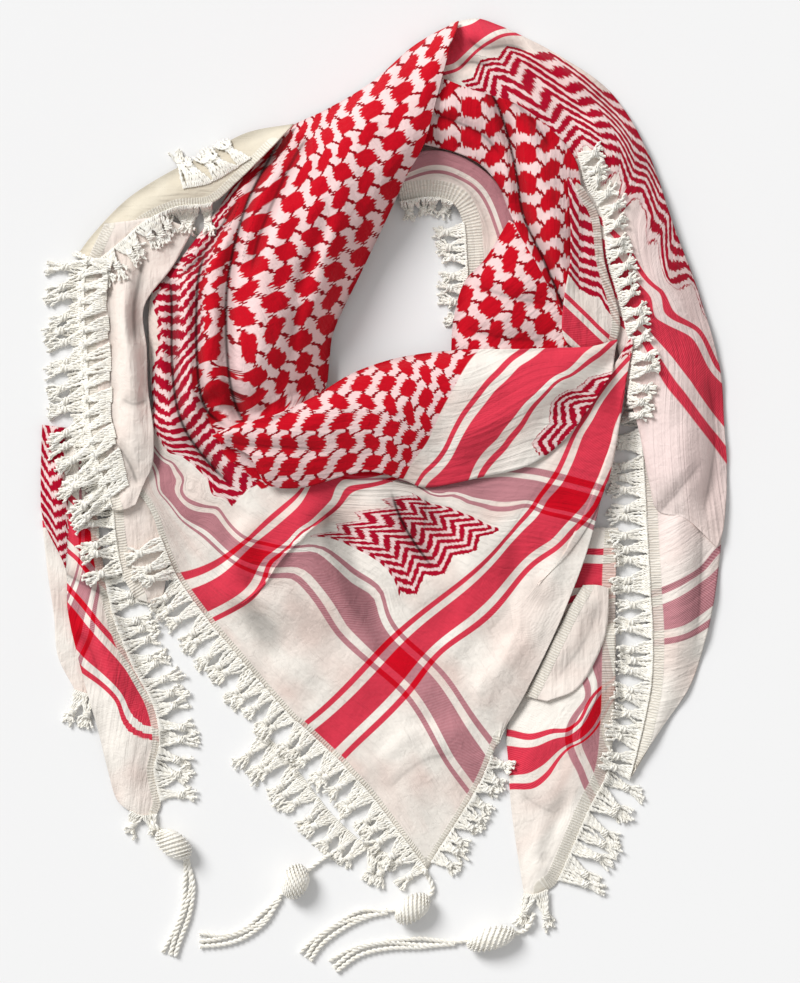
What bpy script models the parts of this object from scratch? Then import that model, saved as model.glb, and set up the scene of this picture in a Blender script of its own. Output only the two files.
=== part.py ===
"""Keffiyeh headscarf, wound once round a neck opening and laid flat on a table.

The scarf is one square of cotton, folded corner to corner and wound. Each stretch of it that
shows is a cloth wall of its own. They lie on one another and on a rounded ring of hidden folds,
with a knotted fringe along every hem and a tassel at every corner.

Plan: +X to the right, +Y away from the front corner, +Z up from the table at z = 0.
Tables are in millimetres.
"""

from collections import namedtuple

import bpy
import numpy as np

MM = 0.001                # metres in a millimetre
CENTRE = (0.8, 2.3)       # middle of the laid scarf in the tables' own plan

WALL = 1.6                # thickness of a cloth wall
STEEPEST = 0.4            # least upward lean of a wall that still keeps its full thickness
SEAM = 0.3                # air between two pieces that touch

CELL = 1.0                # pitch of the height raster
AROUND = 1                # cells looked at on each side of one, so that no thin edge is missed
AROUND_TASSEL = 2         # the same under a tassel, whose rings stand further apart
REACH = 360.0             # the raster runs this far each way from the origin
EDGE_SHARE = -0.02        # a cell centre this far outside a triangle still counts as under it
LIFTS = 10                # passes in which a sheet is lifted clear before the last firm one

CORE_SECTIONS = 34        # sections round the ring of hidden folds
CORE_STEPS_BETWEEN = 8    # steps of its curve from one table row to the next

LOCK_PITCH = 10.6         # distance along a hem from one fringe lock to the next
LOCK_ROOT = 6.4           # width of a lock where it leaves its strip
LOCK_KNOT = 4.2           # width of a lock at its knot
LOCK_TUFT = 5.4           # width of the cut tuft past the knot
KNOT_AT = 0.72            # share of a lock's length at which it is knotted
LOCK_HEIGHT = 1.8
LOCK_SWAY = 0.10          # how far a lock leans to either side of its neighbours
LOCK_UNEVEN = 1.5         # how much longer or shorter than the fringe a lock may be
STRIP_WIDTH = 2.6         # fringe strip, from the cloth's edge to the roots of its locks
STRIP_HEIGHT = 1.4
TABLE_CLEAR = 0.5         # a fringe lies this far above the table
ROOT_STEPS = 400          # points along the root line of a fringe

HEAD_CELLS = 5            # faces across a tassel's head; every other one carries a strand
HEAD_RINGS = 9
HEAD_RISE = 0.92          # how much of a half circle the head's section follows
CORD_HALF_WIDTH = 2.2
CORD_HALF_HEIGHT = 1.4
STRAND_RINGS = 7
STRAND_HALF = 1.5         # half the width of a strand, and its half height
STRAND_TIP_HALF = 0.8

Sheet = namedtuple("Sheet", "name colour across along sections")
Fringe = namedtuple("Fringe", "name root first_length last_length side lean")
Tassel = namedtuple("Tassel", "name path head_at head_size spread strand_from")
Fold = namedtuple("Fold", "sheet start via end width rise")

RED_NET = (0.60, 0.06, 0.08)
RED_WHITE = (0.80, 0.42, 0.42)
WHITE = (0.86, 0.82, 0.78)
REVERSE = (0.70, 0.64, 0.52)
CREAM = (0.84, 0.80, 0.70)

# Ring of hidden folds: a row for each section, from its inner to its outer edge.
Core = namedtuple("Core", "inner outer height")
CORE = (
    Core((0, 84), (-6, 30), 22),
    Core((-40, 70), (-88, 32), 22),
    Core((-46, 88), (-148, 84), 37),
    Core((-44, 118), (-148, 140), 42),
    Core((-26, 150), (-118, 188), 42),
    Core((-8, 185), (-82, 232), 40),
    Core((10, 215), (-36, 262), 36),
    Core((24, 252), (10, 296), 30),
    Core((48, 258), (60, 314), 23),
    Core((84, 236), (118, 286), 23),
    Core((96, 204), (168, 226), 23),
    Core((90, 160), (180, 156), 23),
    Core((70, 116), (162, 108), 20),
    Core((50, 86), (96, 40), 16),
)
# Half of a core section: (share of the width, share of the height), stepped where layers end.
CORE_STEPS = (
    (0.00, 0.00), (0.00, 0.20), (0.05, 0.25), (0.06, 0.46), (0.13, 0.54), (0.15, 0.72),
    (0.27, 0.86), (0.50, 1.00),
)

# Each sheet: a row for each section along it. The stations across it stand in the columns that
# the first line names, each as (x, y, height of the underside).
LEFT_TAIL_BACK = (   # outer edge, ridge, inner edge
    ((-239, -5, 0), (-228, -8, 1), (-215, -10, 0)),
    ((-235, -45, 0), (-225, -48, 1), (-212, -50, 0)),
    ((-230, -80, 0), (-221, -82, 1), (-208, -84, 0)),
    ((-227, -110, 0), (-217, -112, 1), (-204, -114, 0)),
    ((-215, -134, 0), (-210, -136, 0), (-202, -138, 0)),
)
LEFT_TAIL = (   # outer edge, ridge, inner hem
    ((-238, 52, 1), (-222, 50, 5), (-200, 48, 3)),
    ((-239, 15, 0), (-224, 12, 6), (-200, 8, 3)),
    ((-237, -15, 0), (-220, -20, 6), (-198, -24, 2)),
    ((-222, -48, 0), (-208, -50, 7), (-194, -52, 2)),
    ((-220, -78, 0), (-204, -80, 7), (-186, -86, 2)),
    ((-213, -110, 0), (-194, -112, 7), (-174, -116, 2)),
    ((-205, -140, 0), (-184, -141, 7), (-160, -143, 2)),
    ((-198, -165, 0), (-178, -166, 7), (-155, -168, 1)),
    ((-192, -190, 0), (-177, -191, 6), (-159, -190, 1)),
    ((-186, -210, 0), (-174, -214, 3), (-155, -212, 0)),
    ((-176, -219, 0), (-168, -222, 1), (-158, -221, 0)),
)
RIGHT_TAIL = (   # inner edge, ridge, outer hem
    ((128, -20, 2), (145, -20, 3), (165, -20, 2)),
    ((122, -60, 2), (143, -60, 5), (163, -60, 3)),
    ((105, -110, 2), (135, -110, 8), (163, -110, 3)),
    ((88, -155, 0), (125, -150, 9), (162, -152, 2)),
    ((88, -185, 0), (120, -182, 9), (158, -190, 1)),
    ((90, -215, 0), (115, -213, 8), (146, -215, 0)),
    ((94, -245, 0), (113, -245, 6), (134, -243, 0)),
    ((98, -270, 0), (110, -270, 3), (123, -267, 0)),
    ((99, -277, 0), (107, -277, 1), (115, -274, 0)),
)
RIGHT_UNDER_FOLD = (   # left edge, crown, right edge
    ((140, -60, 7), (150, -60, 8), (158, -62, 5)),
    ((131, -75, 8), (143, -80, 10), (157, -88, 6)),
    ((120, -97, 8), (133, -103, 11), (150, -110, 7)),
    ((108, -122, 7), (118, -126, 10), (136, -132, 7)),
    ((100, -138, 6), (105, -139, 7), (115, -141, 6)),
)
RIGHT_WRAP_LOWER = (   # hem, crown, outer foot
    ((179, 60, 4), (205, 60, 6), (232, 55, 4)),
    ((182, 20, 4), (208, 20, 8), (235, 15, 1)),
    ((184, -20, 4), (212, -20, 10), (237, -25, 0)),
    ((186, -60, 4), (210, -60, 9), (233, -64, 0)),
    ((188, -95, 3), (208, -97, 8), (226, -98, 0)),
    ((187, -130, 2), (200, -133, 6), (215, -131, 0)),
    ((180, -165, 1), (188, -166, 4), (194, -162, 0)),
    ((172, -196, 0), (174, -193, 1), (177, -188, 0)),
)
RIGHT_OUTER_WRAP = (   # inner edge, shoulder, flank, outer foot
    ((54, 335, 0), (66, 336, 0), (82, 331, 0), (100, 323, 0)),
    ((52, 322, 11), (72, 322, 14), (95, 317, 10), (122, 311, 0)),
    ((50, 303, 21), (80, 303, 22), (120, 297, 17), (160, 284, 0)),
    ((60, 280, 24), (100, 281, 24), (146, 267, 19), (186, 241, 0)),
    ((95, 258, 24), (128, 250, 25), (165, 228, 19), (203, 192, 0)),
    ((125, 232, 24), (150, 218, 25), (187, 182, 19), (222, 141, 0)),
    ((140, 200, 23), (165, 180, 25), (203, 138, 20), (236, 91, 0)),
    ((150, 165, 22), (175, 140, 24), (210, 98, 20), (239, 52, 0)),
    ((160, 125, 18), (182, 98, 22), (212, 58, 20), (241, 22, 0)),
    ((168, 85, 14), (185, 60, 19), (212, 25, 19), (240, -5, 0)),
    ((178, 50, 11), (189, 20, 16), (213, -2, 16), (238, -22, 2)),
    ((185, 15, 8), (192, -8, 10), (212, -14, 11), (234, -34, 5)),
)
BACK_NECK = (   # upper edge, crown, hem at the neck hole
    ((8, 232, 20), (10, 219, 15), (13, 207, 9)),
    ((30, 242, 20), (32, 225, 14), (33, 210, 8)),
    ((55, 238, 20), (53, 220, 13), (49, 206, 7)),
    ((80, 219, 20), (70, 206, 12), (56, 193, 7)),
    ((92, 190, 18), (76, 181, 11), (58, 172, 6)),
    ((86, 165, 15), (72, 158, 10), (59, 150, 5)),
    ((80, 130, 12), (70, 126, 8), (59, 122, 4)),
    ((76, 108, 9), (68, 107, 6), (58, 107, 3)),
)
RIGHT_INNER_ROLL = (   # foot in the neck hole, flank, crown, outer edge
    ((88, 194, 19), (94, 190, 23), (102, 186, 25), (112, 180, 25)),
    ((72, 168, 14), (85, 166, 25), (100, 164, 29), (120, 160, 27)),
    ((57, 151, 9), (75, 148, 25), (98, 146, 29), (125, 140, 26)),
    ((50, 128, 6), (70, 126, 23), (95, 124, 27), (128, 120, 23)),
    ((48, 104, 5), (70, 100, 19), (95, 98, 21), (130, 98, 19)),
    ((50, 92, 5), (70, 88, 15), (95, 86, 16), (128, 88, 15)),
)
RIGHT_NECK_ROLL = (   # foot in the neck hole, flank, crown, shoulder, outer edge
    ((34, 250, 21), (33, 262, 28), (35, 275, 31), (40, 290, 28), (44, 300, 26)),
    ((50, 241, 18), (52, 253, 29), (55, 266, 35), (59, 280, 33), (63, 291, 27)),
    ((68, 232, 16), (75, 243, 30), (82, 256, 36), (89, 270, 34), (95, 281, 28)),
    ((80, 218, 16), (89, 228, 31), (100, 240, 37), (111, 252, 34), (121, 259, 28)),
    ((87, 202, 19), (98, 209, 33), (110, 218, 38), (123, 228, 34), (134, 235, 28)),
    ((95, 184, 24), (106, 190, 34), (117, 197, 38), (128, 205, 34), (138, 212, 28)),
    ((106, 165, 28), (114, 169, 35), (122, 174, 37), (130, 180, 33), (137, 186, 28)),
    ((115, 148, 28), (120, 151, 32), (126, 154, 34), (131, 158, 31), (135, 162, 27)),
    ((126, 128, 25), (128, 128, 27), (129, 128, 27), (131, 129, 26), (132, 130, 24)),
)
RIGHT_SHOULDER_FOLD = (   # inner edge, crown, hem
    ((128, 222, 27), (133, 220, 28), (139, 216, 26)),
    ((130, 195, 28), (140, 196, 30), (150, 196, 27)),
    ((130, 165, 28), (142, 166, 31), (154, 165, 26)),
    ((126, 140, 26), (142, 140, 30), (161, 141, 25)),
    ((125, 115, 22), (143, 118, 27), (165, 122, 22)),
    ((135, 101, 18), (149, 102, 21), (162, 106, 19)),
)
LEFT_LOWER_FOLD = (   # hem, crown, inner edge
    ((-200, 40, 7), (-180, 40, 9), (-158, 38, 6)),
    ((-190, 5, 7), (-172, 3, 9), (-152, 0, 5)),
    ((-187, -25, 6), (-172, -28, 8), (-150, -32, 3)),
    ((-182, -52, 5), (-170, -55, 6), (-152, -60, 2)),
    ((-172, -70, 3), (-165, -72, 3), (-155, -74, 1)),
)
LEFT_NECK_ROLL = (   # outer foot, flank, shoulder, crown, inner flank, foot in the neck hole
    ((53, 334, 4), (52, 330, 13), (51, 326, 21), (49, 321, 26), (47, 316, 29), (46, 310, 30)),
    ((22, 317, 0), (25, 311, 14), (28, 303, 25), (31, 295, 32), (34, 287, 35), (38, 279, 34)),
    ((-8, 291, 0), (-3, 283, 17), (4, 272, 30), (12, 262, 37), (20, 253, 39), (29, 246, 34)),
    ((-40, 272, 0), (-32, 262, 20), (-21, 250, 34), (-9, 238, 41), (4, 229, 41), (18, 226, 28)),
    ((-68, 258, 1), (-58, 246, 22), (-45, 232, 36), (-29, 217, 43), (-11, 206, 41), (7, 203, 20)),
    ((-94, 233, 3), (-83, 221, 24), (-67, 207, 38), (-48, 194, 45), (-26, 184, 41), (-4, 180, 15)),
    ((-116, 201, 5), (-103, 192, 25), (-85, 180, 39), (-62, 169, 46), (-38, 160, 41), (-17, 153, 12)),
    ((-140, 169, 6), (-124, 162, 26), (-103, 153, 40), (-78, 144, 46), (-51, 136, 41), (-28, 131, 8)),
    ((-161, 144, 6), (-142, 138, 25), (-118, 131, 40), (-90, 123, 46), (-61, 116, 41), (-35, 113, 6)),
    ((-163, 110, 6), (-145, 108, 24), (-122, 104, 39), (-94, 99, 45), (-65, 95, 39), (-37, 95, 5)),
    ((-162, 82, 6), (-146, 82, 22), (-126, 80, 35), (-100, 77, 38), (-70, 76, 31), (-39, 79, 9)),
    ((-162, 60, 6), (-148, 61, 18), (-132, 61, 28), (-110, 60, 29), (-84, 58, 24), (-45, 68, 17)),
)
FRONT_BIB = (   # hem, band of the hem, its inner line, field, field, edge under the roll
    ((-162, 60, 6), (-148, 61, 18), (-132, 61, 28), (-110, 60, 29), (-84, 58, 24), (-45, 68, 17)),
    ((-190, 35, 3), (-163, 33, 9), (-143, 33, 15), (-113, 38, 22), (-72, 42, 20), (-20, 66, 17)),
    ((-163, -6, 2), (-150, -6, 6), (-128, 5, 13), (-97, 18, 18), (-60, 25, 18), (0, 50, 17)),
    ((-155, -28, 1), (-133, -20, 7), (-112, -10, 13), (-88, 8, 17), (-50, 15, 18), (20, 40, 16)),
    ((-144, -55, 1), (-112, -36, 8), (-92, -23, 14), (-66, -2, 17), (-42, 13, 18), (40, 30, 14)),
    ((-122, -86, 0), (-90, -64, 9), (-68, -38, 14), (-25, 4, 16), (0, 18, 15), (70, 30, 13)),
    ((-112, -98, 0), (-74, -60, 9), (-52, -30, 13), (8, 8, 14), (35, 10, 11), (110, 40, 13)),
    ((-67, -150, 0), (-10, -98, 8), (8, -75, 10), (65, -38, 13), (108, 22, 16), (150, 80, 15)),
    ((-57, -159, 0), (-2, -107, 7), (22, -84, 9), (75, -45, 12), (120, 20, 16), (162, 95, 15)),
    ((-30, -184, 0), (20, -133, 6), (45, -108, 9), (98, -64, 13), (151, -2, 13), (173, 105, 13)),
    ((-22, -193, 0), (27, -142, 6), (50, -117, 8), (85, -85, 12), (114, -55, 13), (150, -10, 12)),
    ((-10, -206, 0), (36, -155, 5), (57, -133, 8), (80, -112, 11), (103, -94, 13), (129, -73, 12)),
    ((4, -224, 0), (46, -172, 4), (62, -152, 6), (75, -145, 8), (88, -138, 10), (102, -131, 10)),
    ((31, -260, 0), (66, -204, 1), (77, -179, 2), (79, -174, 2), (81, -170, 2), (82, -166, 2)),
)
LEFT_BACK_FOLD = (   # outer edge, crown, hem
    ((-62, 262, 4), (-68, 255, 14), (-76, 246, 20)),
    ((-95, 256, 0), (-97, 240, 13), (-100, 222, 15)),
    ((-125, 240, 0), (-122, 222, 14), (-119, 206, 12)),
    ((-150, 228, 0), (-147, 214, 13), (-143, 203, 11)),
    ((-178, 210, 0), (-172, 200, 11), (-165, 193, 10)),
    ((-200, 188, 0), (-192, 182, 9), (-184, 177, 9)),
    ((-214, 170, 0), (-208, 166, 7), (-202, 163, 7)),
)
LEFT_OUTER_WRAP = (   # hem, flank, ridge, inner edge
    ((-194, 192, 6), (-175, 194, 8), (-155, 196, 8), (-132, 188, 8)),
    ((-207, 162, 7), (-188, 165, 12), (-168, 164, 14), (-147, 161, 10)),
    ((-209, 135, 7), (-191, 136, 14), (-177, 136, 22), (-166, 134, 10)),
    ((-207, 105, 7), (-190, 105, 14), (-176, 105, 23), (-164, 104, 10)),
    ((-206, 78, 7), (-190, 77, 14), (-174, 76, 22), (-163, 75, 13)),
    ((-205, 52, 7), (-189, 50, 15), (-173, 48, 21), (-159, 47, 16)),
    ((-198, 28, 9), (-186, 27, 15), (-174, 25, 18), (-160, 22, 13)),
    ((-188, 8, 11), (-180, 9, 13), (-171, 9, 14), (-163, 9, 11)),
)
FRONT_ROLL = (   # edge in the neck hole, flank, crown, flank, lower edge
    ((-118, 44, 27), (-117, 43, 28), (-115, 42, 28), (-113, 40, 28), (-112, 38, 26)),
    ((-98, 53, 28), (-99, 48, 33), (-99, 43, 34), (-97, 37, 33), (-92, 30, 26)),
    ((-75, 58, 28), (-76, 50, 34), (-76, 40, 37), (-75, 27, 34), (-80, 10, 24)),
    ((-48, 71, 22), (-50, 62, 32), (-52, 48, 37), (-53, 30, 34), (-55, 8, 22)),
    ((-22, 87, 12), (-24, 76, 28), (-26, 58, 36), (-28, 38, 34), (-30, 15, 21)),
    ((5, 97, 8), (2, 85, 26), (-1, 65, 34), (-4, 42, 33), (-8, 19, 20)),
    ((32, 102, 8), (29, 90, 25), (24, 68, 32), (19, 42, 29), (15, 13, 17)),
    ((60, 104, 12), (57, 94, 26), (50, 72, 30), (42, 45, 25), (32, 8, 14)),
    ((90, 104, 18), (87, 96, 27), (82, 77, 29), (76, 52, 24), (68, 15, 15)),
    ((120, 105, 22), (117, 98, 28), (113, 83, 29), (108, 62, 23), (103, 24, 17)),
    ((145, 106, 25), (143, 101, 28), (140, 92, 27), (136, 76, 22), (131, 46, 18)),
    ((163, 111, 24), (163, 109, 24), (162, 104, 23), (161, 97, 21), (160, 88, 19)),
)

# What lies on what, from the table up. The number of mesh cells is (across, along).
SHEETS = {
    sheet.name: sheet
    for sheet in (
        Sheet("left_tail_back", WHITE, 3, 8, LEFT_TAIL_BACK),
        Sheet("left_tail", RED_WHITE, 4, 20, LEFT_TAIL),
        Sheet("right_tail", RED_WHITE, 5, 18, RIGHT_TAIL),
        Sheet("right_under_fold", WHITE, 4, 8, RIGHT_UNDER_FOLD),
        Sheet("right_wrap_lower", WHITE, 4, 16, RIGHT_WRAP_LOWER),
        Sheet("right_outer_wrap", RED_WHITE, 9, 22, RIGHT_OUTER_WRAP),
        Sheet("back_neck", REVERSE, 3, 14, BACK_NECK),
        Sheet("right_inner_roll", RED_NET, 8, 10, RIGHT_INNER_ROLL),
        Sheet("right_neck_roll", RED_NET, 8, 14, RIGHT_NECK_ROLL),
        Sheet("right_shoulder_fold", RED_WHITE, 4, 10, RIGHT_SHOULDER_FOLD),
        Sheet("left_lower_fold", REVERSE, 4, 8, LEFT_LOWER_FOLD),
        Sheet("left_neck_roll", RED_NET, 12, 22, LEFT_NECK_ROLL),
        Sheet("front_bib", RED_WHITE, 12, 30, FRONT_BIB),
        Sheet("left_back_fold", REVERSE, 4, 12, LEFT_BACK_FOLD),
        Sheet("left_outer_wrap", WHITE, 7, 14, LEFT_OUTER_WRAP),
        Sheet("front_roll", RED_NET, 8, 22, FRONT_ROLL),
    )
}

# A run of hem: the edge of a sheet, from one table row (or, at its end, station) to another.
Hem = namedtuple("Hem", "sheet edge first last")
LEFT, RIGHT, END = "left", "right", "end"

# Fringes: root line (a hem, or plan points of an edge that lies hidden), lengths of the first and
# the last lock; side is +1 where the locks point to the left of that line, and lean tips them
# along it.
FRINGES = {
    fringe.name: fringe
    for fringe in (
        Fringe("fringe_left_tail_back", Hem("left_tail_back", END, 0, 2), 22, 22, -1, 0.0),
        Fringe("fringe_left_tail", Hem("left_tail", RIGHT, 3, 9), 24, 24, 1, 0.1),
        Fringe("fringe_left_tail_end", Hem("left_tail", END, 0, 2), 13, 13, -1, 0.0),
        Fringe("fringe_right_tail", Hem("right_tail", RIGHT, 4, 7), 26, 30, 1, 0.1),
        Fringe("fringe_right_tail_end", Hem("right_tail", END, 2, 0), 26, 20, 1, 0.2),
        Fringe("fringe_right_wrap", Hem("right_wrap_lower", LEFT, 0, 7), 25, 22, -1, 0.0),
        Fringe("fringe_back_neck", Hem("back_neck", RIGHT, 3, 6), 20, 16, -1, 0.0),
        Fringe("fringe_back_neck_top", Hem("back_neck", RIGHT, 0, 2), 11, 11, -1, 0.0),
        Fringe("fringe_right_shoulder",
               ((136, 240), (142, 218), (153, 197), (157, 166), (164, 142), (169, 122),
                (174, 100), (172, 75), (168, 52)), 15, 17, 1, -0.2),
        Fringe("fringe_left_lower", Hem("left_lower_fold", LEFT, 0, 3), 28, 24, -1, 0.1),
        Fringe("fringe_front_rear",
               ((-84, -163), (-62, -188), (-38, -219), (-14, -241), (9, -251)), 28, 20, -1, 0.0),
        Fringe("fringe_front_left", Hem("front_bib", LEFT, 3, 13), 26, 22, -1, 0.0),
        Fringe("fringe_front_right", Hem("front_bib", END, 0.1, 2), 17, 14, -1, 0.0),
        Fringe("fringe_left_back_fold", Hem("left_back_fold", RIGHT, 2, 6), 18, 18, 1, 0.0),
        Fringe("fringe_left_back_upper", ((-92, 238), (-118, 222), (-139, 217)), 20, 26, -1, 0.3),
        Fringe("fringe_left_wrap", Hem("left_outer_wrap", LEFT, 1, 5), 28, 34, -1, 0.2),
    )
}

TASSELS = {
    tassel.name: tassel
    for tassel in (
        Tassel("tassel_left",
               ((-161, -226), (-156, -231), (-146, -241), (-138, -252), (-135, -270),
                (-138, -288), (-143, -304), (-148, -319)), 2, (9, 14, 8), 4.5, 3),
        Tassel("tassel_front_rear",
               ((-37, -248), (-50, -258), (-61, -267), (-73, -279), (-84, -294), (-99, -304),
                (-114, -309), (-128, -310)), 2, (10, 12, 8), 4.5, 3),
        Tassel("tassel_front",
               ((29, -259), (35, -274), (21, -286), (3, -288), (-14, -291), (-30, -298),
                (-43, -308), (-53, -321)), 2, (9, 14, 8), 4.5, 3),
        Tassel("tassel_right",
               ((106, -290), (99, -302), (76, -307), (50, -310), (26, -311), (4, -311),
                (-16, -316), (-34, -328)), 2, (8, 18, 7), 4.5, 3),
    )
}

# What is laid when: sheets and fringes from the table up.
LAYING_ORDER = (
    "left_tail_back", "fringe_left_tail_back", "left_tail", "fringe_left_tail",
    "fringe_left_tail_end", "right_tail", "fringe_right_tail", "fringe_right_tail_end",
    "right_under_fold",
    "right_wrap_lower", "fringe_right_wrap", "right_outer_wrap",
    "back_neck", "fringe_back_neck", "fringe_back_neck_top",
    "right_inner_roll", "right_neck_roll", "right_shoulder_fold", "fringe_right_shoulder",
    "left_lower_fold", "fringe_left_lower",
    "fringe_front_rear", "left_neck_roll", "front_bib", "fringe_front_left",
    "fringe_front_right",
    "left_back_fold", "left_outer_wrap", "fringe_left_back_fold", "fringe_left_back_upper",
    "fringe_left_wrap",
    "front_roll",
    "tassel_left", "tassel_front_rear", "tassel_front", "tassel_right",
)

# The largest folds: soft ridges (rise > 0) and troughs (rise < 0) along start, via, end.
FOLDS = (
    Fold("left_neck_roll", (-45, 262), (-84, 205), (-96, 150), 8, -9),
    Fold("left_neck_roll", (-96, 150), (-106, 120), (-108, 80), 7, -8),
    Fold("left_neck_roll", (-75, 240), (-112, 180), (-125, 120), 8, -5),
    Fold("left_neck_roll", (-150, 150), (-149, 110), (-143, 70), 6, -6),
    Fold("left_neck_roll", (10, 290), (-30, 235), (-62, 150), 14, 3),
    Fold("left_neck_roll", (-118, 80), (-104, 60), (-70, 60), 8, -9),
    Fold("front_bib", (-60, -5), (-72, -45), (-92, -95), 16, 6),
    Fold("front_bib", (-70, -62), (-58, -84), (-78, -110), 15, -5),
    Fold("front_bib", (-5, -5), (20, -40), (40, -75), 14, 4),
    Fold("front_bib", (26, -2), (38, -22), (30, -60), 7, -5),
    Fold("front_bib", (40, 0), (80, -12), (120, -30), 10, 3),
    Fold("front_bib", (60, -150), (40, -175), (0, -200), 14, 3),
    Fold("front_bib", (100, -90), (80, -120), (60, -140), 14, 3),
    Fold("front_roll", (-100, 44), (-50, 38), (10, 30), 9, -4),
    Fold("front_roll", (40, 30), (85, 58), (140, 88), 12, 3),
    Fold("right_neck_roll", (45, 262), (75, 262), (100, 225), 8, -6),
    Fold("right_neck_roll", (60, 245), (95, 215), (118, 165), 9, 3),
    Fold("right_outer_wrap", (70, 300), (110, 285), (145, 245), 10, -6),
    Fold("right_outer_wrap", (150, 280), (185, 230), (215, 150), 14, 3),
    Fold("right_outer_wrap", (190, 60), (205, 30), (196, 0), 20, 4),
    Fold("right_outer_wrap", (226, 70), (232, 30), (226, -10), 8, -5),
    Fold("right_wrap_lower", (190, -20), (205, -60), (215, -110), 14, 4),
    Fold("right_tail", (125, -165), (112, -205), (112, -250), 14, -4),
    Fold("right_tail", (135, -120), (140, -160), (135, -220), 12, 3),
    Fold("left_tail", (-200, -60), (-190, -110), (-180, -190), 12, 3),
    Fold("left_outer_wrap", (-192, 150), (-188, 110), (-185, 60), 7, -4),
)


def spline(points, count):
    """Points at even steps along a smooth curve through the given ones, on the first axis."""
    points = np.asarray(points, float)
    before = 2 * points[0] - points[1]
    after = 2 * points[-1] - points[-2]
    padded = np.concatenate([[before], points, [after]])
    place = np.linspace(0, len(points) - 1, count)
    first = np.minimum(place.astype(int), len(points) - 2)
    t = (place - first).reshape((-1,) + (1,) * (points.ndim - 1))
    p0, p1, p2, p3 = (padded[first + k] for k in range(4))
    return 0.5 * (
        2 * p1 + (p2 - p0) * t + (2 * p0 - 5 * p1 + 4 * p2 - p3) * t**2
        + (3 * p1 - p0 - 3 * p2 + p3) * t**3
    )


def along_evenly(points, count):
    """Points spaced evenly by length along a smooth curve through the given ones."""
    fine = spline(points, 40 * len(points))
    steps = np.linalg.norm(np.diff(fine[:, :2], axis=0), axis=1)
    length = np.concatenate([[0], np.cumsum(steps)])
    wanted = np.linspace(0, length[-1], count)
    return np.stack([np.interp(wanted, length, fine[:, k]) for k in range(fine.shape[1])], 1)


def grid_triangles(rows, columns):
    """Triangles of a rectangular grid of points, numbered row by row."""
    corner = (np.arange(rows - 1)[:, None] * columns + np.arange(columns - 1)).ravel()
    right, below, across = corner + 1, corner + columns, corner + columns + 1
    return np.concatenate([
        np.stack([corner, right, across], 1),
        np.stack([corner, across, below], 1),
    ])


class Heap:
    """The height of everything laid so far, on a square raster seen from above."""

    def __init__(self):
        self.count = int(2 * REACH / CELL)
        self.top = np.full((self.count, self.count), -SEAM)

    def cells_under(self, plan, triangles):
        """Raster cells that each triangle covers, as (row, column, corners, weights)."""
        rows, columns, corners, weights = [], [], [], []
        grid = (plan + REACH) / CELL - 0.5
        for triangle in triangles:
            a, b, c = grid[triangle]
            low = np.floor(np.minimum(np.minimum(a, b), c)).astype(int)
            high = np.ceil(np.maximum(np.maximum(a, b), c)).astype(int)
            i, j = np.meshgrid(np.arange(low[0], high[0] + 1), np.arange(low[1], high[1] + 1))
            area = (b[0] - a[0]) * (c[1] - a[1]) - (b[1] - a[1]) * (c[0] - a[0])
            if abs(area) < 1e-9:
                continue
            wb = ((i - a[0]) * (c[1] - a[1]) - (j - a[1]) * (c[0] - a[0])) / area
            wc = ((b[0] - a[0]) * (j - a[1]) - (b[1] - a[1]) * (i - a[0])) / area
            wa = 1 - wb - wc
            inside = np.minimum(np.minimum(wa, wb), wc) >= EDGE_SHARE
            rows.append(j[inside])
            columns.append(i[inside])
            corners.append(np.repeat(triangle[None], inside.sum(), 0))
            weights.append(np.stack([wa[inside], wb[inside], wc[inside]], 1))
        return (np.concatenate(rows), np.concatenate(columns), np.concatenate(corners),
                np.concatenate(weights))

    def widened(self, around=AROUND):
        """The height raster with each cell as high as the highest of those around it."""
        padded = np.pad(self.top, around, mode="edge")
        steps = range(2 * around + 1)
        shifts = [padded[r:r + self.count, c:c + self.count] for r in steps for c in steps]
        return np.max(shifts, axis=0)

    def lay(self, plan, height, triangles):
        """Lifts a surface's points until it clears the heap by SEAM all over."""
        row, column, corner, weight = self.cells_under(plan, triangles)
        floor = self.widened() + SEAM
        height = np.maximum(height, floor[self.cell_of(plan)])
        soft_share = np.clip(1.6 * weight, 0, 1)
        for share in [soft_share] * LIFTS + [np.ones_like(weight)]:
            short = floor[row, column] - (height[corner] * weight).sum(1)
            lift = np.zeros(len(height))
            np.maximum.at(lift, corner, np.clip(short, 0, None)[:, None] * share)
            height = height + lift
        return height

    def add(self, plan, height, triangles):
        """Raises the heap to a surface laid on it."""
        row, column, corner, weight = self.cells_under(plan, triangles)
        np.maximum.at(self.top, (row, column), (height[corner] * weight).sum(1))
        np.maximum.at(self.top, self.cell_of(plan), height)

    @staticmethod
    def cell_of(plan):
        """Row and column of the cell that each plan point lies in."""
        index = ((plan + REACH) / CELL).astype(int)
        return index[:, 1], index[:, 0]


def fold_height(name, plan):
    """Sum of the named sheet's folds at each point."""
    total = np.zeros(len(plan))
    for fold in FOLDS:
        if fold.sheet != name:
            continue
        line = spline((fold.start, fold.via, fold.end), 25)
        gap = np.linalg.norm(plan[:, None] - line[None], axis=2)
        nearest = gap.argmin(1)
        share = nearest / (len(line) - 1)
        fade = np.clip(4 * share, 0, 1) * np.clip(4 * (1 - share), 0, 1)
        total += fold.rise * fade * np.exp(-((gap.min(1) / fold.width) ** 2))
    return total


def upward_lean(points, rows, columns):
    """How far each grid point's normal leans upward: 1 on the flat, 0 on a vertical wall."""
    grid = points.reshape(rows, columns, 3)
    normal = np.cross(np.gradient(grid, axis=0), np.gradient(grid, axis=1))
    return np.abs(normal[..., 2] / (np.linalg.norm(normal, axis=2) + 1e-9)).ravel()


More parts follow.
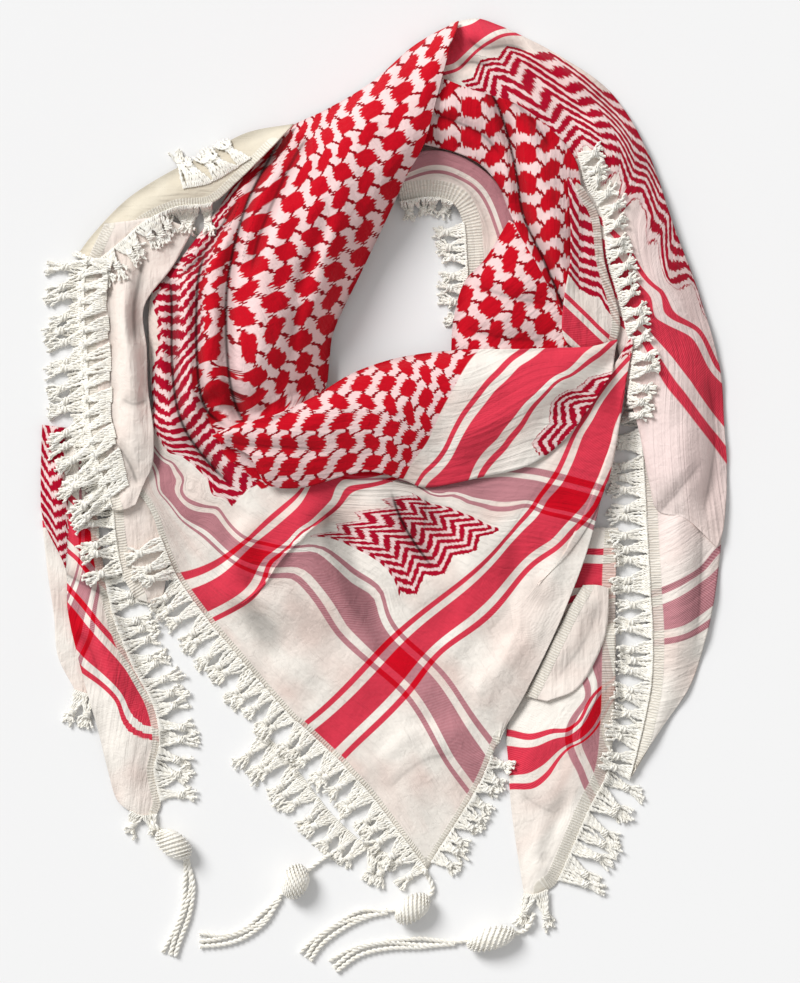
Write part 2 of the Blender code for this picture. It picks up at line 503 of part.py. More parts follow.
def paint(item, colour):
    """Gives an object a plain cotton material in its own colour."""
    material = bpy.data.materials.new(item.name + "_cotton")
    material.use_nodes = True
    shader = material.node_tree.nodes["Principled BSDF"]
    shader.inputs["Base Color"].default_value = (*colour, 1)
    shader.inputs["Roughness"].default_value = 0.85
    shader.inputs["Metallic"].default_value = 0.0
    item.data.materials.append(material)


def make_object(name, points, faces, colour):
    """A named, smooth-shaded mesh object from points in millimetres."""
    mesh = bpy.data.meshes.new(name)
    places = (np.asarray(points) - (*CENTRE, 0)) * MM
    mesh.from_pydata(places.tolist(), [], [list(map(int, face)) for face in faces])
    mesh.shade_smooth()
    mesh.set_sharp_from_angle(angle=0.9)
    item = bpy.data.objects.new(name, mesh)
    bpy.context.scene.collection.objects.link(item)
    paint(item, colour)
    return item


def core_loops():
    """The core's inner edge, outer edge and height at even steps round the ring."""
    table = np.array([(*row.inner, *row.outer, row.height) for row in CORE], float)
    wrapped = np.concatenate([table[-2:], table, table[:3]])
    fine = spline(wrapped, (len(wrapped) - 1) * CORE_STEPS_BETWEEN + 1)
    ring = fine[2 * CORE_STEPS_BETWEEN:][:len(CORE) * CORE_STEPS_BETWEEN]
    chosen = ring[np.linspace(0, len(ring), CORE_SECTIONS, endpoint=False).astype(int)]
    return chosen[:, 0:2], chosen[:, 2:4], chosen[:, 4:5]


def build_core(heap):
    """The ring of hidden folds: flat below, rounded above, stepped where its layers end."""
    inner, outer, height = core_loops()
    mirrored = tuple((1 - share, rise) for share, rise in reversed(CORE_STEPS[:-1]))
    profile = np.array(CORE_STEPS + mirrored)
    across = profile[None, :, :1]
    plan = inner[:, None] * (1 - across) + outer[:, None] * across
    points = np.concatenate([plan, (height * profile[:, 1])[..., None]], 2).reshape(-1, 3)
    width = len(profile)
    faces = []
    upper = []
    for section in range(CORE_SECTIONS):
        here = section * width
        there = (section + 1) % CORE_SECTIONS * width
        for k in range(width):
            after = (k + 1) % width
            face = (here + k, there + k, there + after, here + after)
            faces.append(face)
            if 0 < k < width - 2:
                upper += [(face[0], face[1], face[2]), (face[0], face[2], face[3])]
    make_object("core_folds", points, outward(points, faces), WHITE)
    heap.add(points[:, :2], points[:, 2], np.array(upper))


def wall_faces(rows, columns):
    """Closed faces of a wall: top grid, bottom grid and the rim between them."""
    count = rows * columns
    top = [(r * columns + c, r * columns + c + 1, (r + 1) * columns + c + 1, (r + 1) * columns + c)
           for r in range(rows - 1) for c in range(columns - 1)]
    bottom = [tuple(count + v for v in reversed(face)) for face in top]
    edge = (list(range(columns - 1))
            + [r * columns + columns - 1 for r in range(rows - 1)]
            + [(rows - 1) * columns + c for c in range(columns - 1, 0, -1)]
            + [r * columns for r in range(rows - 1, 0, -1)])
    rim = [(a, a + count, b + count, b) for a, b in zip(edge, edge[1:] + edge[:1])]
    return top + bottom + rim


def outward(points, faces):
    """The faces, turned round where the closed body would be inside out."""
    points = np.asarray(points)
    volume = 0.0
    for face in faces:
        a = points[face[0]]
        for second, third in zip(face[1:], face[2:]):
            volume += np.dot(a, np.cross(points[second], points[third]))
    return faces if volume > 0 else [tuple(reversed(face)) for face in faces]


def build_sheet(sheet, heap):
    """One stretch of cloth: a wall laid on the heap. Gives the grid of its underside."""
    rows, columns = sheet.along + 1, sheet.across + 1
    sections = np.asarray(sheet.sections, float)
    grid = spline(sections, rows)
    grid = spline(grid.transpose(1, 0, 2), columns).transpose(1, 0, 2)
    points = grid.reshape(-1, 3)
    plan = points[:, :2]
    design = points[:, 2] + fold_height(sheet.name, plan)
    triangles = grid_triangles(rows, columns)
    under = heap.lay(plan, np.maximum(design, 0), triangles)
    lean = upward_lean(np.column_stack([plan, under]), rows, columns)
    top = under + WALL / np.maximum(lean, STEEPEST)
    heap.add(plan, top, triangles)
    bottom = np.column_stack([plan, under])
    points = np.concatenate([np.column_stack([plan, top]), bottom])
    make_object(sheet.name, points, outward(points, wall_faces(rows, columns)), sheet.colour)
    return bottom.reshape(rows, columns, 3)


def wall_between(plan, under, top, quads):
    """Points and closed faces of a wall over any flat net of four-sided faces."""
    count = len(plan)
    points = np.concatenate([np.column_stack([plan, top]), np.column_stack([plan, under])])
    faces = list(quads) + [tuple(count + v for v in reversed(quad)) for quad in quads]
    edges = set()
    for quad in quads:
        for a, b in zip(quad, quad[1:] + quad[:1]):
            if (b, a) in edges:
                edges.remove((b, a))
            else:
                edges.add((a, b))
    faces += [(b, a, a + count, b + count) for a, b in sorted(edges)]
    return points, outward(points, faces)


def root_line(root, laid):
    """Points (x, y, height) close together along the edge that a fringe hangs from."""
    if not isinstance(root, Hem):
        plan = along_evenly(root, ROOT_STEPS)
        return np.column_stack([plan, np.full(len(plan), TABLE_CLEAR)])
    grid = laid[root.sheet]
    edge = {LEFT: grid[:, 0], RIGHT: grid[:, -1], END: grid[-1]}[root.edge]
    sections = SHEETS[root.sheet].sections
    last = len(sections[0] if root.edge == END else sections) - 1
    place = np.linspace(root.first, root.last, ROOT_STEPS) / last * (len(edge) - 1)
    line = np.stack([np.interp(place, range(len(edge)), edge[:, k]) for k in range(3)], 1)
    steps = np.linalg.norm(np.diff(line[:, :2], axis=0), axis=1)
    length = np.concatenate([[0], np.cumsum(steps)])
    even = np.linspace(0, length[-1], ROOT_STEPS)
    return np.stack([np.interp(even, length, line[:, k]) for k in range(3)], 1)


def fringe_net(fringe, laid):
    """Points and quads of a fringe: the strip first, then its locks one by one."""
    line = root_line(fringe.root, laid)
    length = np.linalg.norm(np.diff(line[:, :2], axis=0), axis=1).sum()
    count = max(2, round(length / LOCK_PITCH))
    pitch = length / count
    tangent = np.gradient(line[:, :2], axis=0)
    tangent /= np.linalg.norm(tangent, axis=1)[:, None]
    normal = fringe.side * np.stack([-tangent[:, 1], tangent[:, 0]], 1)
    height = line[:, 2:]
    line = line[:, :2] + normal * SEAM
    stations = np.linspace(0, length, ROOT_STEPS)

    def at(distance, values):
        return np.array([np.interp(distance, stations, column) for column in values.T])

    middles = [(k + 0.5) * pitch for k in range(count)]
    marks = [middle + side * LOCK_ROOT / 2 for middle in middles for side in (-1, 1)]
    strip = len(marks)
    plan = [at(mark, line) for mark in marks]
    plan += [at(mark, line) + STRIP_WIDTH * at(mark, normal) for mark in marks]
    design = [float(at(mark, height)[0]) for mark in marks] * 2
    quads = [(m, m + 1, strip + m + 1, strip + m) for m in range(strip - 1)]
    for k, middle in enumerate(middles):
        left, right = strip + 2 * k, strip + 2 * k + 1
        root = (plan[left] + plan[right]) / 2
        forward = (plan[right] - plan[left]) / np.linalg.norm(plan[right] - plan[left])
        ahead = at(middle, normal) + forward * (LOCK_SWAY * np.sin(2.4 * k) + fringe.lean)
        ahead /= np.linalg.norm(ahead)
        share = (k + 0.5) / count
        reach = fringe.first_length * (1 - share) + fringe.last_length * share
        reach += LOCK_UNEVEN * np.sin(1.7 * k + 1) - STRIP_WIDTH
        for place, width in ((KNOT_AT, LOCK_KNOT), (1.0, LOCK_TUFT)):
            centre = root + ahead * (reach * place)
            plan += [centre - forward * (width / 2), centre + forward * (width / 2)]
            quads.append((left, right, len(plan) - 1, len(plan) - 2))
            left, right = len(plan) - 2, len(plan) - 1
    in_strip = 2 * strip
    design += [TABLE_CLEAR] * (len(plan) - in_strip)
    return np.array(plan), np.maximum(design, TABLE_CLEAR), quads, in_strip


def build_fringe(fringe, heap, laid):
    """A strip along a hem with its knotted locks, laid on the heap."""
    plan, design, quads, in_strip = fringe_net(fringe, laid)
    triangles = np.array([(q[0], q[k], q[k + 1]) for q in quads for k in (1, 2)])
    under = heap.lay(plan, design, triangles)
    top = under + LOCK_HEIGHT
    top[:in_strip] = under[:in_strip] + STRIP_HEIGHT
    heap.add(plan, top, triangles)
    points, faces = wall_between(plan, under, top, quads)
    return make_object(fringe.name, points, faces, CREAM)


def head_sections(tassel, floor):
    """Rings of points along a tassel's cord and ball, and the plan point where it ends."""
    path = np.asarray(tassel.path, float)
    half_width, half_length, half_height = tassel.head_size
    line = along_evenly(path[:tassel.strand_from + 1], HEAD_RINGS)
    direction = np.gradient(line, axis=0)
    direction /= np.linalg.norm(direction, axis=1)[:, None]
    sideways = np.stack([-direction[:, 1], direction[:, 0]], 1)
    away = np.linalg.norm(line - path[tassel.head_at], axis=1)
    bulge = np.sqrt(np.clip(1 - (away / half_length) ** 2, 0, 1))
    wide = np.maximum(half_width * bulge, CORD_HALF_WIDTH)
    wide[-1] = max(wide[-1], tassel.spread)
    high = np.maximum(half_height * bulge, CORD_HALF_HEIGHT)
    offset = np.linspace(-1, 1, HEAD_CELLS + 1)
    arch = np.sqrt(1 - (HEAD_RISE * offset) ** 2)
    rings = []
    for ring in range(HEAD_RINGS):
        plan = line[ring] + sideways[ring] * (offset[:, None] * wide[ring])
        middle = max(TABLE_CLEAR, floor[Heap.cell_of(plan)].max()) + high[ring]
        upper = [(x, y, middle + rise) for (x, y), rise in zip(plan, arch * high[ring])]
        lower = [(x, y, middle - rise) for (x, y), rise in zip(plan, arch * high[ring])]
        rings.append(upper + lower[::-1])
    return rings, line[-1]


def strand_sections(tassel, start, cell, floor):
    """Four-sided rings along one loose strand, past the ring where it leaves the head."""
    path = np.concatenate([[start], np.asarray(tassel.path[tassel.strand_from + 1:], float)])
    line = along_evenly(path, STRAND_RINGS)
    direction = np.gradient(line, axis=0)
    direction /= np.linalg.norm(direction, axis=1)[:, None]
    side = np.stack([-direction[:, 1], direction[:, 0]], 1)
    place = 2 * cell / (HEAD_CELLS - 1) - 1
    rings = []
    for step in range(1, STRAND_RINGS):
        half = STRAND_TIP_HALF if step == STRAND_RINGS - 1 else STRAND_HALF
        swing = tassel.spread * place * (1 + 0.35 * np.sin(1.3 * step + cell))
        middle = line[step] + side[step] * swing
        left, right = middle - side[step] * half, middle + side[step] * half
        rest = max(TABLE_CLEAR, floor[Heap.cell_of(np.array([left, right]))].max())
        rest += 0.4 * np.sin(0.9 * step + 2 * cell) ** 2
        rings.append([(*left, rest + 2 * half), (*right, rest + 2 * half), (*right, rest),
                      (*left, rest)])
    return rings


def build_tassel(tassel, heap):
    """A cord with a knotted ball, and loose strands that lie on the table."""
    floor = heap.widened(AROUND_TASSEL) + SEAM
    rings, end = head_sections(tassel, floor)
    width = len(rings[0])
    points = [point for ring in rings for point in ring]
    faces = []
    for ring in range(HEAD_RINGS - 1):
        here, there = ring * width, (ring + 1) * width
        for k in range(width):
            after = (k + 1) % width
            faces.append((here + k, here + after, there + after, there + k))
    last = (HEAD_RINGS - 1) * width
    for cell in range(HEAD_CELLS):
        near = (cell, cell + 1, width - 2 - cell, width - 1 - cell)
        faces.append(tuple(reversed(near)))
        previous = tuple(last + k for k in near)
        if cell % 2 == 0:
            for ring in strand_sections(tassel, end, cell, floor):
                current = tuple(range(len(points), len(points) + 4))
                points += ring
                for a in range(4):
                    b = (a + 1) % 4
                    faces.append((previous[a], previous[b], current[b], current[a]))
                previous = current
        faces.append(previous)
    return make_object(tassel.name, points, outward(points, faces), CREAM)


def main():
    """Clears the scene, then lays the scarf from the table up."""
    for item in list(bpy.data.objects):
        bpy.data.objects.remove(item, do_unlink=True)
    heap = Heap()
    laid = {}
    build_core(heap)
    for name in LAYING_ORDER:
        if name in SHEETS:
            laid[name] = build_sheet(SHEETS[name], heap)
        elif name in FRINGES:
            build_fringe(FRINGES[name], heap, laid)
        else:
            build_tassel(TASSELS[name], heap)


if __name__ == "__main__":
    main()
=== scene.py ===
"""Looks of a keffiyeh headscarf, wound once round a neck opening and laid flat on a table.

The scarf is one square of cotton with a knotted fringe. Plans are in millimetres on the table,
+X to the right and +Y away from the front corner. A thread of the cloth is known by its distance
in millimetres from the two hems that meet at the front corner: p from one, q from the other.
"""

import logging
import math
from dataclasses import dataclass, field
from enum import Enum

import bpy
import numpy as np
from mathutils.bvhtree import BVHTree
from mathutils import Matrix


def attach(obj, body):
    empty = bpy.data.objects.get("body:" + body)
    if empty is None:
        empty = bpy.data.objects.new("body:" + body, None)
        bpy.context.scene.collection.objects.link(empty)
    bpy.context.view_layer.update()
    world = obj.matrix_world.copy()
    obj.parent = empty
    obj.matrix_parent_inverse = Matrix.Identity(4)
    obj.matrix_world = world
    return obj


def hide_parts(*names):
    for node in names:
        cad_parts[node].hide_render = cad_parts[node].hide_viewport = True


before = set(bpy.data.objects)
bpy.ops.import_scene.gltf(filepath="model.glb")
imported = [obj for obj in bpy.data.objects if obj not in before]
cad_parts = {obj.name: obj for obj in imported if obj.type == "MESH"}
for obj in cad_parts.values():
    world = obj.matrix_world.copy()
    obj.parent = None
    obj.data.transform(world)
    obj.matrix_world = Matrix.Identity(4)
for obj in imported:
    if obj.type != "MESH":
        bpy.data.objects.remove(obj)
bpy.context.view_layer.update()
LOG = logging.getLogger("keffiyeh")

MM = 0.001
CENTRE = np.array((0.8, 2.3))     # middle of the laid scarf in the plans below
CELL = 1.7                        # pitch of a cloth mesh
THICKNESS = 0.9                   # a cloth as drawn, with its surface fuzz
AIR = 0.25                        # between two layers that touch
REACH = 360                       # the height map runs this far each way
SMOOTHING = 12                    # passes that turn a faceted wall into draped cloth
EDGE_POINTS = 300                 # on the edge of a laid sheet
FAR = 2000.0                      # past the last thread either way

Plan = tuple[float, float]
Line = tuple[Plan, ...]
Colour = tuple[float, float, float, float]
Array = np.ndarray
Tree = bpy.types.NodeTree
Socket = bpy.types.NodeSocket
Piece = bpy.types.Object


class Edge(Enum):
    """An edge of a cloth's grid of sections."""

    LEFT = "first station of every section"
    RIGHT = "last station of every section"
    END = "last section"

    def of(self, grid: Array) -> Array:
        """The grid's points on this edge, in order."""
        return {Edge.LEFT: grid[:, 0], Edge.RIGHT: grid[:, -1], Edge.END: grid[-1]}[self]


class Cloth(Enum):
    """Which finish a stretch of cloth shows."""

    FACE = "patterned face"
    REVERSE = "pale reverse, where the pattern barely shows"
    PLAIN = "undyed border cloth"


@dataclass(frozen=True)
class Thread:
    """A thread at a known distance from a hem, and plan points that it runs through."""

    distance: float
    line: Line


@dataclass(frozen=True)
class Crease:
    """A soft ridge (rise > 0) or trough (rise < 0) along a line, in millimetres.

    The cloth that it hides adds to p, and to q, on the line's right side. It is one number, or
    one for each point of the line. A crease fades in and out over a fifth of its length.
    """

    line: Line
    width: float
    rise: float
    hides_p: float | tuple[float, ...] = 0.0
    hides_q: float | tuple[float, ...] = 0.0

    STEPS = 180
    FADES_IN = 5

    def beside(self, plan: Array) -> tuple[Array, ...]:
        """What the crease does at each plan point.

        Args:
            plan: points (n, 2).

        Returns:
            Height, (p, q) hidden, distance to the right of the line, and share of full depth.
        """
        line = spline(np.array(self.line, float), self.STEPS)
        gap = np.linalg.norm(plan[:, None] - line[None], axis=2)
        nearest = gap.argmin(1)
        share = nearest / (self.STEPS - 1)
        fade = eased(self.FADES_IN * np.minimum(share, 1 - share))
        height = self.rise * fade * np.exp(-((gap.min(1) / self.width) ** 2))
        away = -((plan - line[nearest]) * sideways(line)[nearest]).sum(1)
        stations = np.linspace(0, 1, len(self.line))
        hidden = [fade * np.interp(share, stations, np.broadcast_to(amount, stations.shape))
                  for amount in (self.hides_p, self.hides_q)]
        return height, np.stack(hidden, 1), away, fade


# ---------------------------------------------------------------- numbers on a plan


def eased(share: Array) -> Array:
    """A smooth step from 0 to 1 where the share runs from 0 to 1."""
    share = np.clip(share, 0, 1)
    return share * share * (3 - 2 * share)


def spline(points: Array, count: int) -> Array:
    """Points at even steps along a smooth curve through the given ones.

    Args:
        points: what the curve runs through, along the first axis.
        count: how many points to give back.

    Returns:
        The curve's points, with the other axes as they were.
    """
    points = np.asarray(points, float)
    padded = np.concatenate([[2 * points[0] - points[1]], points, [2 * points[-1] - points[-2]]])
    place = np.linspace(0, len(points) - 1, count)
    first = np.minimum(place.astype(int), len(points) - 2)
    t = (place - first).reshape((-1,) + (1,) * (points.ndim - 1))
    p0, p1, p2, p3 = (padded[first + k] for k in range(4))
    return 0.5 * (2 * p1 + (p2 - p0) * t + (2 * p0 - 5 * p1 + 4 * p2 - p3) * t**2
                  + (3 * p1 - p0 - 3 * p2 + p3) * t**3)


def lengths(points: Array) -> Array:
    """Distance in plan from the first point of a polyline to each."""
    steps = np.linalg.norm(np.diff(points[:, :2], axis=0), axis=1)
    return np.concatenate([[0], np.cumsum(steps)])


def evenly(points: Array, count: int) -> Array:
    """The same polyline with its points spaced evenly by length in plan.

    Args:
        points: the polyline, (n, 2) or (n, 3).
        count: how many points to give back.

    Returns:
        The points.
    """
    length = lengths(points)
    wanted = np.linspace(0, length[-1], count)
    return np.stack([np.interp(wanted, length, column) for column in points.T], 1)


def sideways(line: Array) -> Array:
    """Unit vectors to the left of a polyline in plan."""
    tangent = np.gradient(line[:, :2], axis=0)
    tangent /= np.linalg.norm(tangent, axis=1)[:, None] + 1e-9
    return np.stack([-tangent[:, 1], tangent[:, 0]], 1)


def blurred(grid: Array, passes: int = 1) -> Array:
    """The grid after passes of a 1-2-1 blur each way.

    Args:
        grid: heights by row and column.
        passes: how often it is blurred.

    Returns:
        The grid, its edges kept.
    """
    for axis in (0, 1) * passes:
        padded = np.pad(grid, [(1, 1) if a == axis else (0, 0) for a in (0, 1)], mode="edge")
        before, after = np.split(padded, [-2], axis)[0], np.split(padded, [2], axis)[1]
        grid = 0.25 * before + 0.5 * grid + 0.25 * after
    return grid


def thin_plate(threads: tuple[Thread, ...], plan: Array) -> Array:
    """Distance from the hem at each plan point, from the given threads.

    Args:
        threads: the known threads.
        plan: points (n, 2).

    Returns:
        The smooth thin plate through the stated values, at each point.
    """
    unit, slack = 100.0, 0.0025       # decimetres suit the solver; slack lets the plate ease off
    known = np.array([point for thread in threads for point in thread.line], float) / unit
    value = np.array([thread.distance for thread in threads for _ in thread.line], float)

    def kernel(points: Array) -> Array:
        """How each known point bends the plate at each point."""
        gap = np.linalg.norm(points[:, None] - known[None], axis=2)
        return gap**2 * np.log(gap + 1e-9)

    def affine(points: Array) -> Array:
        """Terms of the plate's flat part."""
        return np.column_stack([np.ones(len(points)), points])

    size = len(known)
    system = np.zeros((size + 3, size + 3))
    system[:size, :size] = kernel(known) + slack * np.eye(size)
    system[:size, size:] = affine(known)
    system[size:, :size] = affine(known).T
    weights = np.linalg.solve(system, np.concatenate([value, np.zeros(3)]))
    points = plan / unit
    return kernel(points) @ weights[:size] + affine(points) @ weights[size:]


class HeightMap:
    """Height of everything laid so far, on a 1 mm raster seen from above."""

    def __init__(self) -> None:
        """An empty table."""
        self.top = np.zeros((2 * REACH, 2 * REACH))

    @staticmethod
    def cells(plan: Array) -> tuple[Array, Array]:
        """Row and column under each plan point."""
        index = np.clip((np.asarray(plan)[..., :2] + REACH).astype(int), 1, 2 * REACH - 2)
        return index[..., 1], index[..., 0]

    def under(self, plan: Array) -> Array:
        """Highest point in the cell under each plan point and the cells round it.

        Args:
            plan: points (..., 2).

        Returns:
            The heights.
        """
        row, column = self.cells(plan)
        around = [self.top[row + r, column + c] for r in (-1, 0, 1) for c in (-1, 0, 1)]
        return np.max(around, axis=0)

    def add(self, plan: Array, height: Array) -> None:
        """Raises the map to these points."""
        np.maximum.at(self.top, self.cells(plan), height)

    def add_grid(self, grid: Array) -> None:
        """Raises the map to a laid grid, with its in-between points.

        Args:
            grid: points (x, y, height) by row and column.
        """
        for axis in (0, 1):
            count = 2 * grid.shape[axis] - 1
            place = np.linspace(0, grid.shape[axis] - 1, count)
            low = place.astype(int)
            high = np.minimum(low + 1, grid.shape[axis] - 1)
            grid = (np.take(grid, low, axis) + np.take(grid, high, axis)) / 2
        self.add(grid[..., :2].reshape(-1, 2), grid[..., 2].ravel())


def solid_top(names: tuple[str, ...], plan: Array) -> Array:
    """Height of the top of the part's solids at each plan point.

    Args:
        names: the solids.
        plan: points (rows, columns, 2).

    Returns:
        The heights in millimetres. Beside the solids they are taken from the nearest cells.
    """
    points, faces = [], []
    for name in names:
        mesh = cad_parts[name].data
        faces += [tuple(len(points) + v for v in face.vertices) for face in mesh.polygons]
        points += [vertex.co.copy() for vertex in mesh.vertices]
    tree = BVHTree.FromPolygons(points, faces)
    flat = (plan.reshape(-1, 2) - CENTRE) * MM
    found = [tree.ray_cast((x, y, 1.0), (0, 0, -1))[0] for x, y in flat]
    height = np.array([math.nan if hit is None else hit.z / MM for hit in found])
    grid = height.reshape(plan.shape[:-1])
    while np.isnan(grid).any():
        padded = np.pad(grid, 1, constant_values=math.nan)
        rows, columns = grid.shape
        around = [padded[r:r + rows, c:c + columns] for r in range(3) for c in range(3)]
        count = (~np.isnan(around)).sum(axis=0)
        fill = np.isnan(grid) & (count > 0)
        grid[fill] = np.nansum(around, axis=0)[fill] / count[fill]
    return grid


def placed(name: str, data: bpy.types.ID) -> Piece:
    """A new object at the origin of the scene that holds this data."""
    thing = bpy.data.objects.new(name, data)
    bpy.context.scene.collection.objects.link(thing)
    return thing


def declared(piece: Piece, nodes: tuple[str, ...]) -> None:
    """Hangs a finished piece from the root body and hides the solids that it stands for.

    Args:
        piece: the finished piece.
        nodes: the solids.
    """
    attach(piece, "root")
    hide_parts(*nodes)


# ---------------------------------------------------------------- finishes


def linear(colour: str) -> Colour:
    """An sRGB hex colour as linear values with alpha 1."""
    values = [int(colour[k:k + 2], 16) / 255 for k in (1, 3, 5)]
    light = [v / 12.92 if v <= 0.04045 else ((v + 0.055) / 1.055) ** 2.4 for v in values]
    return (*light, 1.0)


def add(tree: Tree, kind: str, settings: dict | None = None, **links: object) -> bpy.types.Node:
    """Adds a node, sets its properties and its inputs, and gives it back.

    Args:
        tree: the node tree.
        kind: the node's type name.
        settings: properties of the node.
        links: input names (or _0, _1 for positions) to a Number, a socket, a node or a value.

    Returns:
        The node.
    """
    node = tree.nodes.new(kind)
    for name, value in (settings or {}).items():
        setattr(node, name, value)
    for name, value in links.items():
        place = int(name[1:]) if name[1:].isdigit() else name.replace("_", " ")
        socket = node.inputs[place]
        if isinstance(value, Number):
            value = value.socket
        if isinstance(value, bpy.types.Node):
            value = next(out for out in value.outputs if out.enabled)
        if isinstance(value, Socket):
            tree.links.new(value, socket)
        else:
            socket.default_value = value
    return node


class Number:
    """A number at each point of a surface. Its arithmetic adds Math nodes to the tree."""

    def __init__(self, tree: Tree, socket: Socket | float) -> None:
        """A socket, or a plain number, that Math nodes of this tree can take."""
        self.tree, self.socket = tree, socket

    def by(self, operation: str, *others: "Number | float") -> "Number":
        """The result of one Math node on this number and the others.

        Args:
            operation: the node's operation.
            others: its other inputs.

        Returns:
            The result.
        """
        links = {f"_{k}": term for k, term in enumerate((self, *others))}
        node = add(self.tree, "ShaderNodeMath", {"operation": operation}, **links)
        return Number(self.tree, node.outputs["Value"])

    def __add__(self, other: "Number | float") -> "Number":
        """The sum."""
        return self.by("ADD", other)

    def __sub__(self, other: "Number | float") -> "Number":
        """The difference."""
        return self.by("SUBTRACT", other)

    def __rsub__(self, other: float) -> "Number":
        """The difference from a plain number."""
        return Number(self.tree, other).by("SUBTRACT", self)

    def __mul__(self, other: "Number | float") -> "Number":
        """The product."""
        return self.by("MULTIPLY", other)

    def __truediv__(self, other: "Number | float") -> "Number":
        """The quotient."""
        return self.by("DIVIDE", other)

    def __pow__(self, other: float) -> "Number":
        """The power."""
        return self.by("POWER", other)

    def __abs__(self) -> "Number":
        """The size, without its sign."""
        return self.by("ABSOLUTE")

    def most(self, *others: "Number | float") -> "Number":
        """The greatest of this number and the others."""
        found = self
        for other in others:
            found = found.by("MAXIMUM", other)
        return found

    def least(self, other: "Number | float") -> "Number":
        """The lesser of this number and another."""
        return self.by("MINIMUM", other)

    def share(self, most: float = 1.0) -> "Number":
        """This number, held between 0 and a limit."""
        return self.most(0.0).least(most)

    def within(self, low: float, high: float = FAR, soft: float = 1.0) -> "Number":
        """A mask that is 1 where this number lies between two limits.

        Args:
            low: the lower limit.
            high: the upper limit.
            soft: width of the mask's soft edge.

        Returns:
            The mask.
        """
        gap = abs(self - (low + high) / 2)
        return (((high - low + soft) / 2 - gap) / soft).share()

    def band(self, low: float, high: float) -> "Number":
        """A mask for a band, which is a wide stripe between two thin ones.

        Args:
            low: where the band starts.
            high: where it ends.

        Returns:
            The mask.
        """
        thin, half, middle, soft = 5.0, 10.8, (low + high) / 2, 0.6
        stripes = ((low, low + thin), (middle - half, middle + half), (high - thin, high))
        first, *others = (self.within(*stripe, soft) for stripe in stripes)
        return first.most(*others)

    def repeated(self, pitch: float, start: float = 0.0) -> "Number":
        """Distance from the middle of the repeat that this number is in.

        Args:
            pitch: length of a repeat.
            start: where the first one starts, before 0.

        Returns:
            The distance, from minus half a pitch to half a pitch.
        """
        return (self + start).by("WRAP", pitch, 0.0) - pitch / 2

    def wave(self) -> "Number":
        """Its sine, between 0 and 1."""
        return self.by("SINE") * 0.5 + 0.5


def over(below: Colour | Socket, above: Colour | Socket, mask: Number) -> Socket:
    """A colour laid over another by a mask, as a socket."""
    # A Mix node's colours share their names with its other kinds of input: they go by place.
    mixed = add(mask.tree, "ShaderNodeMix", {"data_type": "RGBA", "clamp_factor": True},
                _0=mask, _6=below, _7=above)
    return mixed.outputs[2]


def axes(tree: Tree, place: Socket) -> tuple[Number, Number]:
    """The first two numbers of a place."""
    apart = add(tree, "ShaderNodeSeparateXYZ", Vector=place).outputs
    return Number(tree, apart["X"]), Number(tree, apart["Y"])


def given(tree: Tree, name: str) -> tuple[Number, Number]:
    """The two numbers of a piece's UV map."""
    return axes(tree, add(tree, "ShaderNodeUVMap", {"uv_map": name}).outputs["UV"])


def on_object(tree: Tree) -> Socket:
    """The place on the piece, in metres."""
    return add(tree, "ShaderNodeTexCoord").outputs["Object"]


def noise(tree: Tree, place: Socket | bpy.types.Node, **settings: float) -> Number:
    """Soft random tone at each place, with the texture's settings."""
    return Number(tree, add(tree, "ShaderNodeTexNoise", Vector=place, **settings).outputs["Fac"])


def fresh_material(name: str) -> bpy.types.Material:
    """A material with an empty node tree."""
    material = bpy.data.materials.new(name)
    material.use_nodes = True
    material.node_tree.nodes.clear()
    return material


